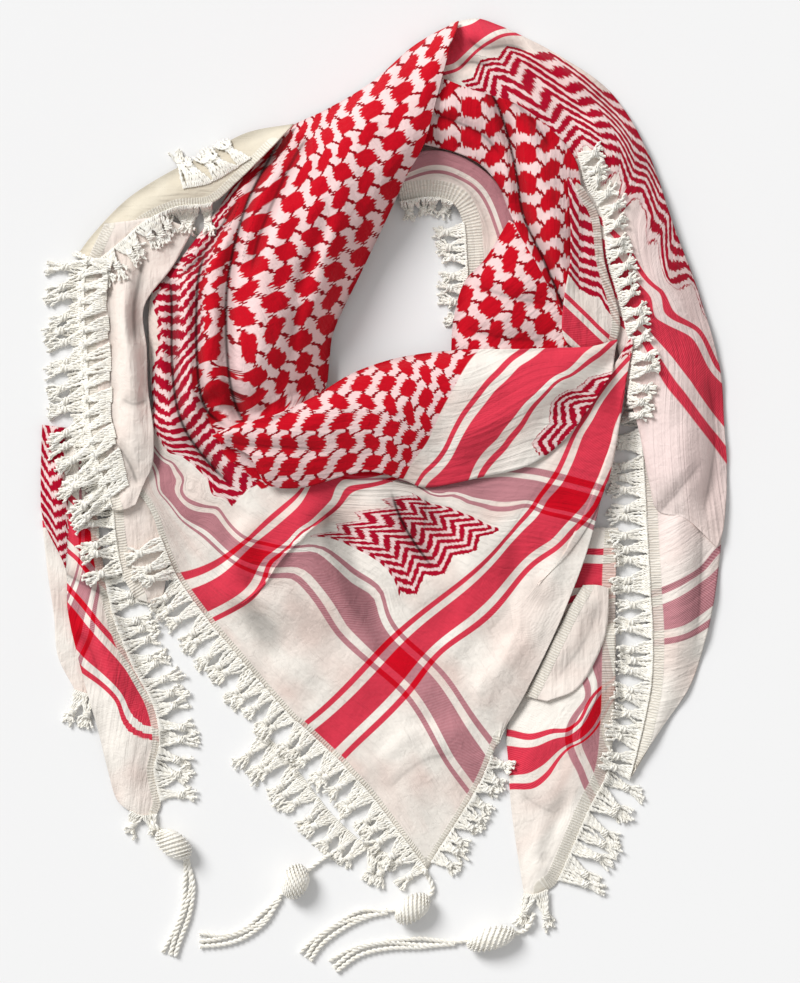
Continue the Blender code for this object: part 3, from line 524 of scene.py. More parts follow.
@dataclass(frozen=True)
class KeffiyehCotton:
    """Soft cotton twill with red woven in: matt, faintly fuzzy, threads just catching light.

    Sizes are in millimetres on the flat cloth. Yarns and ribs are drawn about twice as coarse
    as real ones, which are too fine to show.
    """

    white: str = "#F4EDE4"
    shade: str = "#EBD8CE"
    blush: str = "#F0CBCB"
    net_red: str = "#C2041C"
    deep_red: str = "#960014"
    chevron_red: str = "#AC0026"
    band_red: str = "#E4475A"
    band_shade: str = "#CF2840"
    mauve: str = "#CB949A"
    mauve_shade: str = "#AC6A72"
    crossing: str = "#CC001C"
    hem: str = "#F3EFE4"
    hem_shade: str = "#D6CFBF"
    back: str = "#E2DAC8"
    back_shade: str = "#CDC2AE"

    YARNS = 1.08                  # to a millimetre
    NET_START = (360.0, 450.0)    # p and q of the middle of a cell's corner
    NET_DRAWN = (0.93, 1.2)       # how the net is drawn in where it runs along p
    NET_CELL = (20.5, 33.0)       # along its close rows, and across them
    WANDER = 3.0                  # how far the net drifts from its true place
    NET_JAG = 2.9                 # how far a yarn's float ends early or late
    SQUARE = (7.4, 7.0, 3.0)      # half sizes of a corner's float, and how square it is
    SLANTED = (9.5, 4.9, 2.6)     # the same of the float in a cell's middle
    SLANT = (0.819, 0.574)        # cosine and sine of its turn
    TIE = (0.849, 0.528)          # unit vector across a thin float
    TIE_HALF = 1.5
    ZIGZAG = (28.0, 21.0)         # length of a zigzag's repeat along p, and its rise to a share
    BAR_PITCH = 8.4
    BAR_HALF = (0.34, 0.18)       # in shares of the pitch, and what is lost at the corners
    BAR_SOFT = 12.0
    BAR_JAG = 1.3
    TWILL = 4.2                   # radians to a millimetre, a line for each 1.5 mm
    THREADS = 5.6                 # the same for each thread of the grain
    RIBS = 3300.0                 # radians to a metre along the hem, a rib for each 1.9 mm

    def material(self, name: str, cloth: Cloth, net_along_p: bool) -> bpy.types.Material:
        """A material that reads the maps "threads" (p, q) and "hem" (share, distance along).

        Args:
            name: the material's name.
            cloth: which finish of the cloth it is.
            net_along_p: whether the net's close rows run along p.

        Returns:
            The material.
        """
        material = fresh_material(name)
        tree = material.node_tree
        p, q = (axis * (1 / MM) for axis in given(tree, "threads"))
        woven = cloth is Cloth.FACE
        colour = self.pattern(p, q, net_along_p) if woven else self.undyed(tree, cloth)
        colour, relief = self.hemmed(tree, colour)
        shader = add(tree, "ShaderNodeBsdfPrincipled", Base_Color=self.painted_fold_shade(tree, colour),
                     Roughness=0.92, Sheen_Weight=0.08, Sheen_Roughness=0.5,
                     Normal=self.grain(p, q, relief), Specular_IOR_Level=0.12)
        add(tree, "ShaderNodeOutputMaterial", Surface=shader)
        return material

    def undyed(self, tree: Tree, cloth: Cloth) -> Socket:
        """Plain cloth, or the reverse, with soft drifts of tone, as a colour."""
        drift = noise(tree, on_object(tree), Scale=55.0, Detail=2.0)
        pair = (self.white, self.shade) if cloth is Cloth.PLAIN else (self.back, self.back_shade)
        return over(*map(linear, pair), drift)

    def float_end(self, thread: Number, seed: float) -> Number:
        """How early or late each yarn's float ends.

        Args:
            thread: distance across the yarns.
            seed: sets the one hem's yarns apart from the other's.

        Returns:
            A number from minus to plus a half, the same all along a yarn.
        """
        yarn = (thread * self.YARNS).by("FLOOR")
        place = add(yarn.tree, "ShaderNodeCombineXYZ", X=yarn, Y=seed)
        ends = add(yarn.tree, "ShaderNodeTexWhiteNoise", {"noise_dimensions": "3D"}, Vector=place)
        return Number(yarn.tree, ends.outputs["Value"]) - 0.5

    def net(self, along: Number, across: Number) -> tuple[Number, Number]:
        """The net of the field: square floats, slanted long ones, and thin ones between.

        Args:
            along: distance along its close rows.
            across: distance across them.

        Returns:
            Masks of the thick floats, and of the whole net.
        """
        pitch_x, pitch_y = self.NET_CELL
        half_x, half_y, power = self.SQUARE
        x = abs(along.repeated(pitch_x, pitch_x / 2))
        y = abs(across.repeated(pitch_y, pitch_y / 2))
        square = (x / half_x) ** power + (y / half_y) ** power
        half_length, half_width, power = self.SLANTED
        cosine, sine = self.SLANT
        x_mid, y_mid = along.repeated(pitch_x), across.repeated(pitch_y)
        slanted = ((abs(x_mid * cosine + y_mid * sine) / half_length) ** power
                   + (abs(y_mid * cosine - x_mid * sine) / half_width) ** power)
        floats = ((1.0 - square.least(slanted)) * 3.0 + 0.5).share()
        tie = (self.TIE_HALF - abs(x * self.TIE[0] - y * self.TIE[1])) * 2.0
        return floats, floats.most(tie).least(1.0)

    def zigzag(self, p: Number, q: Number) -> tuple[Number, Number]:
        """Chevron bars.

        Args:
            p: distance from the one hem.
            q: distance from the other.

        Returns:
            Distance across the bars, and their mask.
        """
        repeat, rise = self.ZIGZAG
        turn = (p / repeat).by("PINGPONG", 0.5)
        across = q + turn * rise
        away = abs((across / self.BAR_PITCH).by("FRACT") - 0.5)
        half, lost = self.BAR_HALF
        bar = (half - abs(turn * 2.0 - 0.5) * lost - away) * self.BAR_SOFT + 0.5
        return across, bar

    def pattern(self, p: Number, q: Number, net_along_p: bool) -> Socket:
        """The woven colours.

        Args:
            p: distance from the one hem, in millimetres.
            q: distance from the other.
            net_along_p: whether the net's close rows run along p.

        Returns:
            The colour before its grain.
        """
        tree = p.tree
        end_p, end_q = self.float_end(p, 0.0), self.float_end(q, 7.0)
        place = add(tree, "ShaderNodeCombineXYZ", X=p, Y=q)
        wander = (noise(tree, place, Scale=0.09, Detail=1.0) - 0.5) * self.WANDER
        net_p, net_q = p - self.NET_START[0], q - self.NET_START[1]
        if net_along_p:
            along, across = (axis * drawn for axis, drawn in zip((net_p, net_q), self.NET_DRAWN))
            jag = end_q
        else:
            along, across, jag = net_q, net_p, end_p
        floats, net = self.net(along + wander + jag * self.NET_JAG, across - wander)
        bar_place, bars = self.zigzag(p + end_q * self.BAR_JAG, q + end_p * self.BAR_JAG)

        in_net = q.within(326) * p.within(196)
        strip = bar_place.within(170, 246) * p.within(165, 270).most(p.within(355))
        chevrons = (p.within(165, 197) * q.within(330)).most(strip)
        mauves = p.band(100, 145).most(p.band(290, 330) * q.within(-FAR, 331))
        reds = q.band(100, 145).most(q.band(260, 305))

        x, y = axes(tree, on_object(tree))
        flush = ((x - 0.15) * 16.0).share(0.5) * ((y + 0.09) * 9.0).share()
        blushed = (in_net * 0.85).most(chevrons * 0.7, flush)
        tone = (noise(tree, place, Scale=0.016, Detail=2.0) - 0.42) * 4.5
        twill = ((p + q) * self.TWILL).wave()
        red = over(linear(self.band_red), linear(self.band_shade), twill)
        mauve = over(linear(self.mauve), linear(self.mauve_shade), twill)
        thick = over(linear(self.deep_red), linear(self.net_red), floats)
        colour = over(linear(self.white), linear(self.shade), tone)
        for above, mask in ((linear(self.blush), blushed), (mauve, mauves), (red, reds),
                            (linear(self.crossing), mauves * reds),
                            (linear(self.chevron_red), (bars * chevrons).share()),
                            (thick, (net * in_net).most(0.0))):
            colour = over(colour, above, mask)
        return colour

    def hemmed(self, tree: Tree, colour: Socket) -> tuple[Socket, Number]:
        """Lays the ribbed hem over the cloth.

        Args:
            tree: the material's node tree.
            colour: the cloth's colour.

        Returns:
            The new colour, and the height of the ribs.
        """
        share, run = given(tree, "hem")
        hem = ((1.0 - share) * 12.0).share()
        rib = (run * self.RIBS).wave()
        # Painted shade: each rib's groove is coloured hem_shade, on top of the ribs' bump.
        ribs = over(linear(self.hem_shade), linear(self.hem), rib)
        return over(colour, ribs, hem * 0.72), rib * hem * 2.5

    @staticmethod
    def painted_fold_shade(tree: Tree, colour: Socket) -> Socket:
        """Paints shade into deep folds and hollows, which the piece's attributes hold.

        Args:
            tree: the material's node tree.
            colour: the cloth's colour.

        Returns:
            The new colour.
        """
        hollow_shade, side, depth = (
            Number(tree, add(tree, "ShaderNodeAttribute", {"attribute_name": name}).outputs["Fac"])
            for name in ("hollow_shade", "fold_side", "fold_shade_depth"))
        away = side * 2.6
        away = away * away * -1.0
        line = away.by("EXPONENT") * depth * 0.95
        soft = (away * 0.13).by("EXPONENT") * depth * 0.45
        # Painted shade: a darker copy of the colour, laid over the troughs' lines and the hollows.
        painted_shade = add(tree, "ShaderNodeHueSaturation", Saturation=1.15, Value=0.05, Color=colour)
        return over(colour, painted_shade.outputs["Color"], line.most(soft, hollow_shade * 0.42))

    def grain(self, p: Number, q: Number, relief: Number) -> bpy.types.Node:
        """The normal of the cloth's surface: threads, fuzz, crepe and fine crinkles.

        Args:
            p: distance from the one hem, in millimetres.
            q: distance from the other.
            relief: height of the hem's ribs.

        Returns:
            The node that gives the normal.
        """
        tree = p.tree
        threads = (p * self.THREADS).by("SINE") * (q * self.THREADS).by("SINE") * 0.35
        fuzz = noise(tree, on_object(tree), Scale=900.0, Detail=3.0)
        crepe = noise(tree, on_object(tree), Scale=170.0, Detail=2.0, Distortion=0.6)
        place = add(tree, "ShaderNodeCombineXYZ", X=p * 0.22, Y=q * 0.035)
        crinkle = noise(tree, place, Scale=1.0, Detail=2.0, Distortion=0.4)
        height = threads + relief + fuzz + crepe * 5.0 + crinkle * 9.0
        return add(tree, "ShaderNodeBump", Strength=0.6, Distance=0.0003, Height=height)


@dataclass(frozen=True)
class YarnCotton:
    """Undyed cotton yarn: creamy, matt, its twist showing as soft shade."""

    light: str = "#FFFEFA"
    shade: str = "#EAE4D6"

    def material(self, name: str) -> bpy.types.Material:
        """The yarn's material, by this name."""
        material = fresh_material(name)
        tree = material.node_tree
        tone = noise(tree, on_object(tree), Scale=260.0, Detail=2.0)
        colour = over(linear(self.light), linear(self.shade), tone)
        shader = add(tree, "ShaderNodeBsdfPrincipled", Base_Color=colour, Roughness=0.95,
                     Sheen_Weight=0.2, Specular_IOR_Level=0.15)
        add(tree, "ShaderNodeOutputMaterial", Surface=shader)
        return material


# ---------------------------------------------------------------- cloth


@dataclass
class ClothSheet:
    """One stretch of the scarf's cloth, laid on its own solids.

    Attributes:
        name: the piece, and the solid that it stands for.
        sections: rows of plan points across the cloth, along its length.
        p, q: threads whose distances from the two hems are known.
        flat, area: width and length of its cut, in metres, which is not used, and its true area.
        cloth, slot: its finish, and the record's material slot, which is not used.
        hems: its hemmed edges, with each hem's width in millimetres and where it starts.
        creases: the listed folds.
        net_along_p: whether the net's close rows run along p.
        cell: pitch of its mesh.
        tucks: its edges that continue in the cloth below.
        nodes: the solids that it stands for, where they have other names.
    """

    name: str
    sections: tuple[Line, ...]
    p: tuple[Thread, ...]
    q: tuple[Thread, ...]
    flat: tuple[float, float]
    area: float
    cloth: Cloth = Cloth.FACE
    slot: str = "cotton_patterned"
    hems: dict[Edge, tuple[float, float]] = field(default_factory=dict)
    creases: tuple[Crease, ...] = ()
    net_along_p: bool = False
    cell: float = CELL
    tucks: tuple[Edge, ...] = ()
    nodes: tuple[str, ...] = ()
    grid: Array = field(init=False, default=None)

    DRAPE = 1.1            # cloth over a raised solid is longer than its plan
    DARK_AT = 6.0          # a trough this deep gets the full painted shade
    SHARP = 5.0            # only creases up to this wide get painted shade
    # How far a point lies below its blurred surroundings for the full painted shade of a hollow,
    # and the blur's passes
    HOLLOW_AT = 1.6
    HOLLOW_PASSES = 14
    TUCK = 9.0             # an edge sinks over this width
    WRINKLE = 0.0075       # height of a wave of the unevenness, in shares of its length
    WAVES = 7
    FIRST_WAVE = 15.0      # length of the shortest wave, and what each next one adds
    LONGER = 6.5
    HEM_PART = 20000       # points whose gaps to a hem are found at one time
    NO_HEM = 9.0           # a share of the hem's width that is clear of it

    def laid(self, ground: HeightMap,
             finishes: dict[tuple[Cloth, bool], bpy.types.Material]) -> Piece:
        """Args:
            ground: what lies there.
            finishes: materials by finish and by whether the net runs along p.

        Returns:
            The piece.
        """
        plan, nodes = self.plan(), self.nodes or (self.name,)
        height = solid_top(nodes, plan)
        height = blurred(height, round(SMOOTHING * (CELL / self.cell) ** 2))
        flat = plan.reshape(-1, 2)
        beside = [crease.beside(flat) for crease in self.creases]
        for shape, _, _, _ in beside:
            height = height + shape.reshape(height.shape)
        height = height + self.wrinkles(plan)
        height = self.tucked(plan, self.settled(plan, height, ground))
        self.grid = np.concatenate([plan, height[..., None]], 2)
        ground.add_grid(self.grid)
        threads = np.stack([self.distance(self.p, flat, 0), self.distance(self.q, flat, 1)], 1)
        piece = self.mesh(threads, self.hem_map(flat), beside)
        self.shade(piece, height, beside)
        piece.data.materials.append(finishes[self.cloth, self.net_along_p])
        self.thicken(piece)
        declared(piece, nodes)
        area = sum(face.area for face in piece.data.polygons) / 2
        LOG.info("%s: %d faces, %.4f m2 of %.4f", self.name, len(piece.data.polygons), area,
                 self.area)
        return piece

    def plan(self) -> Array:
        """Plan points of the sheet's mesh, by row and column."""
        sections = np.array(self.sections, float)
        across = max(lengths(row)[-1] for row in sections)
        along = max(lengths(sections[:, k])[-1] for k in range(sections.shape[1]))
        rows, columns = (round(self.DRAPE * side / self.cell) + 1 for side in (along, across))
        lengthwise = spline(sections, rows).transpose(1, 0, 2)
        return spline(lengthwise, columns).transpose(1, 0, 2)

    def shade(self, piece: Piece, height: Array, beside: list[tuple[Array, ...]]) -> None:
        """Stores where the finish paints shade: hollows, and the nearest trough's side and depth.

        Args:
            piece: the sheet, one vertex for each point of its grid.
            height: its height by row and column.
            beside: what each crease does at each point.
        """
        hollow_shade = (blurred(height, self.HOLLOW_PASSES) - height) / self.HOLLOW_AT
        hollow_shade = np.clip(hollow_shade, 0, 1).ravel()
        side, depth, deepest = np.zeros((3, *hollow_shade.shape))
        for crease, (shape, _, away, fade) in zip(self.creases, beside):
            if crease.width <= self.SHARP:
                nearer = -shape > deepest
                side[nearer] = away[nearer] / crease.width
                close = np.clip(2 - np.abs(side[nearer]), 0, 1)
                depth[nearer] = close * fade[nearer] * min(1.0, -crease.rise / self.DARK_AT)
                deepest[nearer] = -shape[nearer]
        for name, values in (("hollow_shade", hollow_shade), ("fold_side", side), ("fold_shade_depth", depth)):
            layer = piece.data.attributes.new(name, "FLOAT", "POINT")
            layer.data.foreach_set("value", values.astype(np.float32))

    def distance(self, threads: tuple[Thread, ...], plan: Array, which: int) -> Array:
        """Distance from a hem at each point, the creases' hidden cloth left out.

        Args:
            threads: the known threads.
            plan: points (n, 2).
            which: 0 for p and 1 for q.

        Returns:
            The distances in millimetres.
        """
        opened = []
        for thread in threads:
            line = np.array(thread.line, float)
            hidden = np.zeros(len(line))
            for crease in self.creases:
                amounts, away = crease.beside(line)[1:3]
                hidden += np.where(away > 0, amounts[:, which], 0)
            opened += [Thread(thread.distance - h, (tuple(point),))
                       for h, point in zip(hidden, line)]
        return thin_plate(tuple(opened), plan)

    def wrinkles(self, plan: Array) -> Array:
        """Soft unevenness of worn cotton, from a few crossing waves.

        Args:
            plan: points by row and column.

        Returns:
            What it adds to the height.
        """
        total = np.zeros(plan.shape[:-1])
        for k in range(self.WAVES):
            turn = 2.4 * k + len(self.name)
            direction = np.array((math.cos(turn), math.sin(turn)))
            wave = self.FIRST_WAVE + self.LONGER * k
            phase = 2 * math.pi * (plan @ direction) / wave + 1.7 * k
            total += self.WRINKLE * wave * np.sin(phase)
        return total

    @staticmethod
    def settled(plan: Array, height: Array, ground: HeightMap) -> Array:
        """Lifts the cloth softly where it would lie in what is below it.

        Args:
            plan: points by row and column.
            height: the cloth's height at each.
            ground: what is below it.

        Returns:
            The new heights.
        """
        floor = ground.under(plan) + AIR + THICKNESS
        for _ in range(6):
            floor = np.maximum(floor, blurred(floor))
        for _ in range(3):
            lift = np.clip(floor - height, 0, None)
            for _ in range(5):
                lift = np.maximum(lift, blurred(lift))
            height = np.maximum(blurred(height + lift), floor)
        return height

    def tucked(self, plan: Array, height: Array) -> Array:
        """Lets the edges that continue in the cloth below sink level with it.

        Args:
            plan: points by row and column.
            height: the cloth's height at each.

        Returns:
            The new heights.
        """
        for edge in self.tucks:
            line = edge.of(plan)
            line = line[None] if edge is Edge.END else line[:, None]
            gap = np.linalg.norm(plan - line, axis=2)
            height = height - eased(1 - gap / self.TUCK) * (THICKNESS + 2 * AIR)
        return height

    def hem_map(self, flat: Array) -> Array:
        """Share of the hem's width, and distance along it.

        Args:
            flat: plan points (n, 2).

        Returns:
            The pair at each point.
        """
        share, run = np.full(len(flat), self.NO_HEM), np.zeros(len(flat))
        for edge, (width, first) in self.hems.items():
            line = self.edge_line(edge, first)
            length = lengths(line)
            for start in range(0, len(flat), self.HEM_PART):
                part = slice(start, start + self.HEM_PART)
                gap = np.linalg.norm(flat[part, None] - line[None, :, :2], axis=2)
                nearest = gap.argmin(1)
                closer = gap.min(1) / width < share[part]
                share[part] = np.where(closer, gap.min(1) / width, share[part])
                run[part] = np.where(closer, length[nearest] * MM, run[part])
        return np.stack([share, run], 1)

    def edge_line(self, edge: Edge, first: float = 0.0, last: float = 1.0) -> Array:
        """Points of an edge of the laid grid.

        Args:
            edge: which edge.
            first: share of its stations at which the line starts.
            last: the same for its end.

        Returns:
            Points (x, y, height).
        """
        line = edge.of(self.grid)
        place = np.linspace(first, last, EDGE_POINTS) * (len(line) - 1)
        return np.stack([np.interp(place, range(len(line)), column) for column in line.T], 1)

    def mesh(self, threads: Array, hem: Array, beside: list[tuple[Array, ...]]) -> Piece:
        """The laid grid as a mesh object with its two maps, the first cut along the creases.

        Args:
            threads: (p, q) at each point.
            hem: the hem's map at each point.
            beside: what each crease does at each point.

        Returns:
            The object.
        """
        rows, columns = self.grid.shape[:2]
        points = self.grid.reshape(-1, 3).copy()
        points[:, :2] -= CENTRE
        corner = (np.arange(rows - 1)[:, None] * columns + np.arange(columns - 1)).ravel()
        faces = np.stack([corner, corner + 1, corner + columns + 1, corner + columns], 1)
        a, b, c = (points[faces[:, k]] for k in (0, 1, 2))
        if np.cross(b - a, c - a)[:, 2].sum() < 0:
            faces = faces[:, ::-1]
        data = bpy.data.meshes.new(self.name + "_cloth")
        data.from_pydata((points * MM).tolist(), [], faces.tolist())
        data.shade_smooth()
        corners = threads[faces]
        for _, amounts, away, _ in beside:
            corners = corners + amounts[faces] * (away[faces].mean(1) > 0)[:, None, None]
        for name, values in (("threads", corners * MM), ("hem", hem[faces])):
            layer = data.uv_layers.new(name=name)
            layer.uv.foreach_set("vector", values.astype(np.float32).ravel())
        return placed(self.name + "_cloth", data)

    @staticmethod
    def thicken(piece: Piece) -> None:
        """Gives the sheet its thickness, downward, as part of its mesh."""
        modifier = piece.modifiers.new("thickness", "SOLIDIFY")
        modifier.thickness = THICKNESS * MM
        modifier.offset = -1.0
        data = evaluated(piece)
        piece.modifiers.clear()
        piece.data = data


def evaluated(piece: Piece) -> bpy.types.Mesh:
    """A piece's mesh with its modifiers applied."""
    graph = bpy.context.evaluated_depsgraph_get()
    return bpy.data.meshes.new_from_object(piece.evaluated_get(graph), depsgraph=graph)


# ---------------------------------------------------------------- yarn


@dataclass(frozen=True)
class Yarn:
    """How a yarn is spun: plies, the radius of one, length of a full turn, mesh step, sides."""

    plies: int
    radius: float
    turn: float
    step: float
    sides: int


FRINGE_YARN = Yarn(plies=2, radius=0.68, turn=8.0, step=2.4, sides=4)
CORD_YARN = Yarn(plies=2, radius=0.95, turn=8.0, step=1.4, sides=6)
WINDING_YARN = Yarn(plies=2, radius=0.5, turn=5.0, step=1.3, sides=4)


class YarnTree:
    """Geometry Nodes that turn centrelines into plied, twisted yarn."""

    INPUTS = {"Centrelines": "Geometry", "Plies": "Int", "Ply Radius": "Float", "Turn": "Float",
              "Step": "Float", "Sides": "Int", "Yarn": "Material"}

    def __init__(self) -> None:
        """Builds the tree. Each ply runs round its centreline, a share of a turn apart."""
        tree = bpy.data.node_groups.new("plied_yarn", "GeometryNodeTree")
        self.tree = tree
        for name, kind in self.INPUTS.items():
            tree.interface.new_socket(name, in_out="INPUT", socket_type="NodeSocket" + kind)
        tree.interface.new_socket("Mesh", in_out="OUTPUT", socket_type="NodeSocketGeometry")
        asked = tree.nodes.new("NodeGroupInput").outputs
        plies, radius = (Number(tree, asked[name]) for name in ("Plies", "Ply Radius"))
        evened = add(tree, "GeometryNodeResampleCurve", {"mode": "LENGTH"},
                     Curve=asked["Centrelines"], Length=asked["Step"])
        copies = add(tree, "GeometryNodeDuplicateElements", {"domain": "SPLINE"},
                     Geometry=evened, Amount=asked["Plies"])
        place = Number(tree, add(tree, "GeometryNodeSplineParameter").outputs["Length"])
        ply = Number(tree, copies.outputs["Duplicate Index"])
        angle = (place / Number(tree, asked["Turn"]) + ply / plies) * (2 * math.pi)
        turned = add(tree, "ShaderNodeVectorRotate", {"rotation_type": "AXIS_ANGLE"},
                     Vector=add(tree, "GeometryNodeInputNormal").outputs["Normal"],
                     Axis=add(tree, "GeometryNodeInputTangent").outputs["Tangent"], Angle=angle)
        offset = add(tree, "ShaderNodeVectorMath", {"operation": "SCALE"}, Vector=turned,
                     Scale=radius * plies.by("GREATER_THAN", 1.5))
        twisted = add(tree, "GeometryNodeSetPosition",
                      Geometry=copies.outputs["Geometry"], Offset=offset)
        profile = add(tree, "GeometryNodeCurvePrimitiveCircle", Resolution=asked["Sides"],
                      Radius=radius)
        body = add(tree, "GeometryNodeCurveToMesh", Curve=twisted,
                   Profile_Curve=profile.outputs["Curve"], Fill_Caps=True)
        smooth = add(tree, "GeometryNodeSetShadeSmooth", Geometry=body)
        real = add(tree, "GeometryNodeRealizeInstances", Geometry=smooth)
        done = add(tree, "GeometryNodeSetMaterial", Geometry=real, Material=asked["Yarn"])
        add(tree, "NodeGroupOutput", Mesh=done)

    def spun(self, name: str, lines: list[Array], yarn: Yarn,
             material: bpy.types.Material) -> Piece:
        """Yarn along plan lines, as one plain mesh object.

        Args:
            name: the object's name.
            lines: centrelines, each (n, 3) in millimetres.
            yarn: how it is spun.
            material: its finish.

        Returns:
            The mesh object.
        """
        curve = bpy.data.curves.new(name, "CURVE")
        curve.dimensions = "3D"
        for line in lines:
            points = np.column_stack([line, np.ones(len(line))])
            points[:, :2] -= CENTRE
            points[:, :3] *= MM
            strand = curve.splines.new("POLY")
            strand.points.add(len(points) - 1)
            strand.points.foreach_set("co", points.astype(np.float32).ravel())
        guide = placed(name + "_lines", curve)
        modifier = guide.modifiers.new("yarn", "NODES")
        modifier.node_group = self.tree
        values = {"Plies": yarn.plies, "Ply Radius": yarn.radius * MM, "Turn": yarn.turn * MM,
                  "Step": yarn.step * MM, "Sides": yarn.sides, "Yarn": material}
        for item in self.tree.interface.items_tree:
            if item.in_out == "INPUT" and item.name in values:
                modifier[item.identifier] = values[item.name]
        data = evaluated(guide)
        bpy.data.objects.remove(guide, do_unlink=True)
        return placed(name, data)


@dataclass(frozen=True)
class Lock:
    """One knotted lock of a fringe.

    Attributes:
        root: points (x, y, height) along the edge that the whole fringe hangs from.
        middle: the lock's share of that edge.
        centre: plan point that it hangs from.
        ahead, along: unit vectors down the lock and along the edge.
        reach: its length.
    """

    root: Array
    middle: float
    centre: Array
    ahead: Array
    along: Array
    reach: float

    YARNS = 8
    POINTS = 14              # on a yarn
    SMOOTHED = 3
    ROOT = 9.0               # width of the fan at the hem
    SUNK = 0.8               # how far the yarns start inside the hem
    KNOT_AT = 0.60           # share of the reach, and how much it varies
    KNOT_VARIES = 0.06
    KNOT = 2.4               # width of the yarns there
    TUFT = 10.0              # width of the cut ends
    CLEAR = 0.6              # a centreline above what it lies on
    HEAP = 4.0               # height of the highest lock
    ROOT_RISE = 6.0          # most that a yarn's start may stand above what is below
    COIL = (2.5, 1.5)        # half width and half height of the knot's winding
    COIL_HALF = 1.7          # half its length
    COIL_TURNS = 2.4
    COIL_POINTS = 24

    def yarns(self, ground: HeightMap, rng: np.random.Generator) -> list[Array]:
        """A fan of yarns from the hem, through a knot, to a splayed tuft.

        Args:
            ground: what it lies on.
            rng: the fringe's random numbers.

        Returns:
            Centrelines (x, y, height) of the yarns and of the knot's winding.
        """
        varied = self.KNOT_AT + rng.uniform(-self.KNOT_VARIES, self.KNOT_VARIES)
        knot = self.centre + self.ahead * (self.reach * varied)
        rise = rng.uniform(0.2, 1.0) * self.HEAP
        found = [self.yarn(j / (self.YARNS - 1) - 0.5, knot, rise, ground, rng)
                 for j in range(self.YARNS)]
        level = np.mean([yarn[self.POINTS // 2, 2] for yarn in found])
        return [*found, self.coil(knot, level, ground)]

    def yarn(self, place: float, knot: Array, rise: float, ground: HeightMap,
             rng: np.random.Generator) -> Array:
        """One yarn of the lock.

        Args:
            place: its place across the lock, from minus to plus a half.
            knot: plan point of the knot.
            rise: height of the lock's heap.
            ground: what it lies on.
            rng: the fringe's random numbers.

        Returns:
            Its centreline (x, y, height).
        """
        last = len(self.root) - 1
        share = self.middle + place * self.ROOT / lengths(self.root)[-1]
        index = int(np.clip(share * last, 0, last))
        middle = self.root[round(self.middle * last), :2]
        start = self.centre + self.root[index, :2] - middle - self.ahead * self.SUNK
        bow = self.along * rng.normal(0, 0.9)
        near = knot + self.along * place * self.KNOT
        tip = (self.centre + self.ahead * (self.reach + rng.normal(0, 1.6))
               + self.along * (place * self.TUFT + rng.normal(0, 0.9)))
        curl = self.along * rng.normal(0, 0.8) + self.ahead * rng.normal(0, 0.6)
        guide = np.array([start, start * 0.55 + near * 0.45 + bow, near,
                          near + (tip - near) * 0.5 + curl, tip])
        plan = spline(guide, self.POINTS)
        share = np.linspace(0, 1, self.POINTS)
        heap = rise * np.sin(np.pi * np.clip(1.25 * share, 0, 1)) ** 2
        ends = rng.uniform(0, 2.6) * np.clip(2.5 * share - 1.5, 0, 1)
        floor = np.maximum(ground.under(plan), 0) + self.CLEAR
        height = floor + heap + ends + rng.uniform(0, 0.8)
        hem = self.root[index, 2] - THICKNESS / 2
        height[0] = max(min(hem, floor[0] + self.ROOT_RISE), floor[0])
        for _ in range(self.SMOOTHED):
            height[1:-1] = np.maximum((height[:-2] + 2 * height[1:-1] + height[2:]) / 4,
                                      floor[1:-1])
        return np.column_stack([plan, height])

    def coil(self, knot: Array, level: float, ground: HeightMap) -> Array:
        """The winding of the knot.

        Args:
            knot: its plan point.
            level: height of the yarns in it.
            ground: what it lies on.

        Returns:
            Its centreline (x, y, height).
        """
        turn = np.linspace(0, 2 * math.pi * self.COIL_TURNS, self.COIL_POINTS)
        run = np.linspace(-self.COIL_HALF, self.COIL_HALF, self.COIL_POINTS)
        width, height = self.COIL
        plan = knot + np.outer(np.cos(turn) * width, self.along) + np.outer(run, self.ahead)
        level = level + 0.4 + height * np.sin(turn)
        return np.column_stack([plan, np.maximum(level, ground.under(plan) + self.CLEAR)])


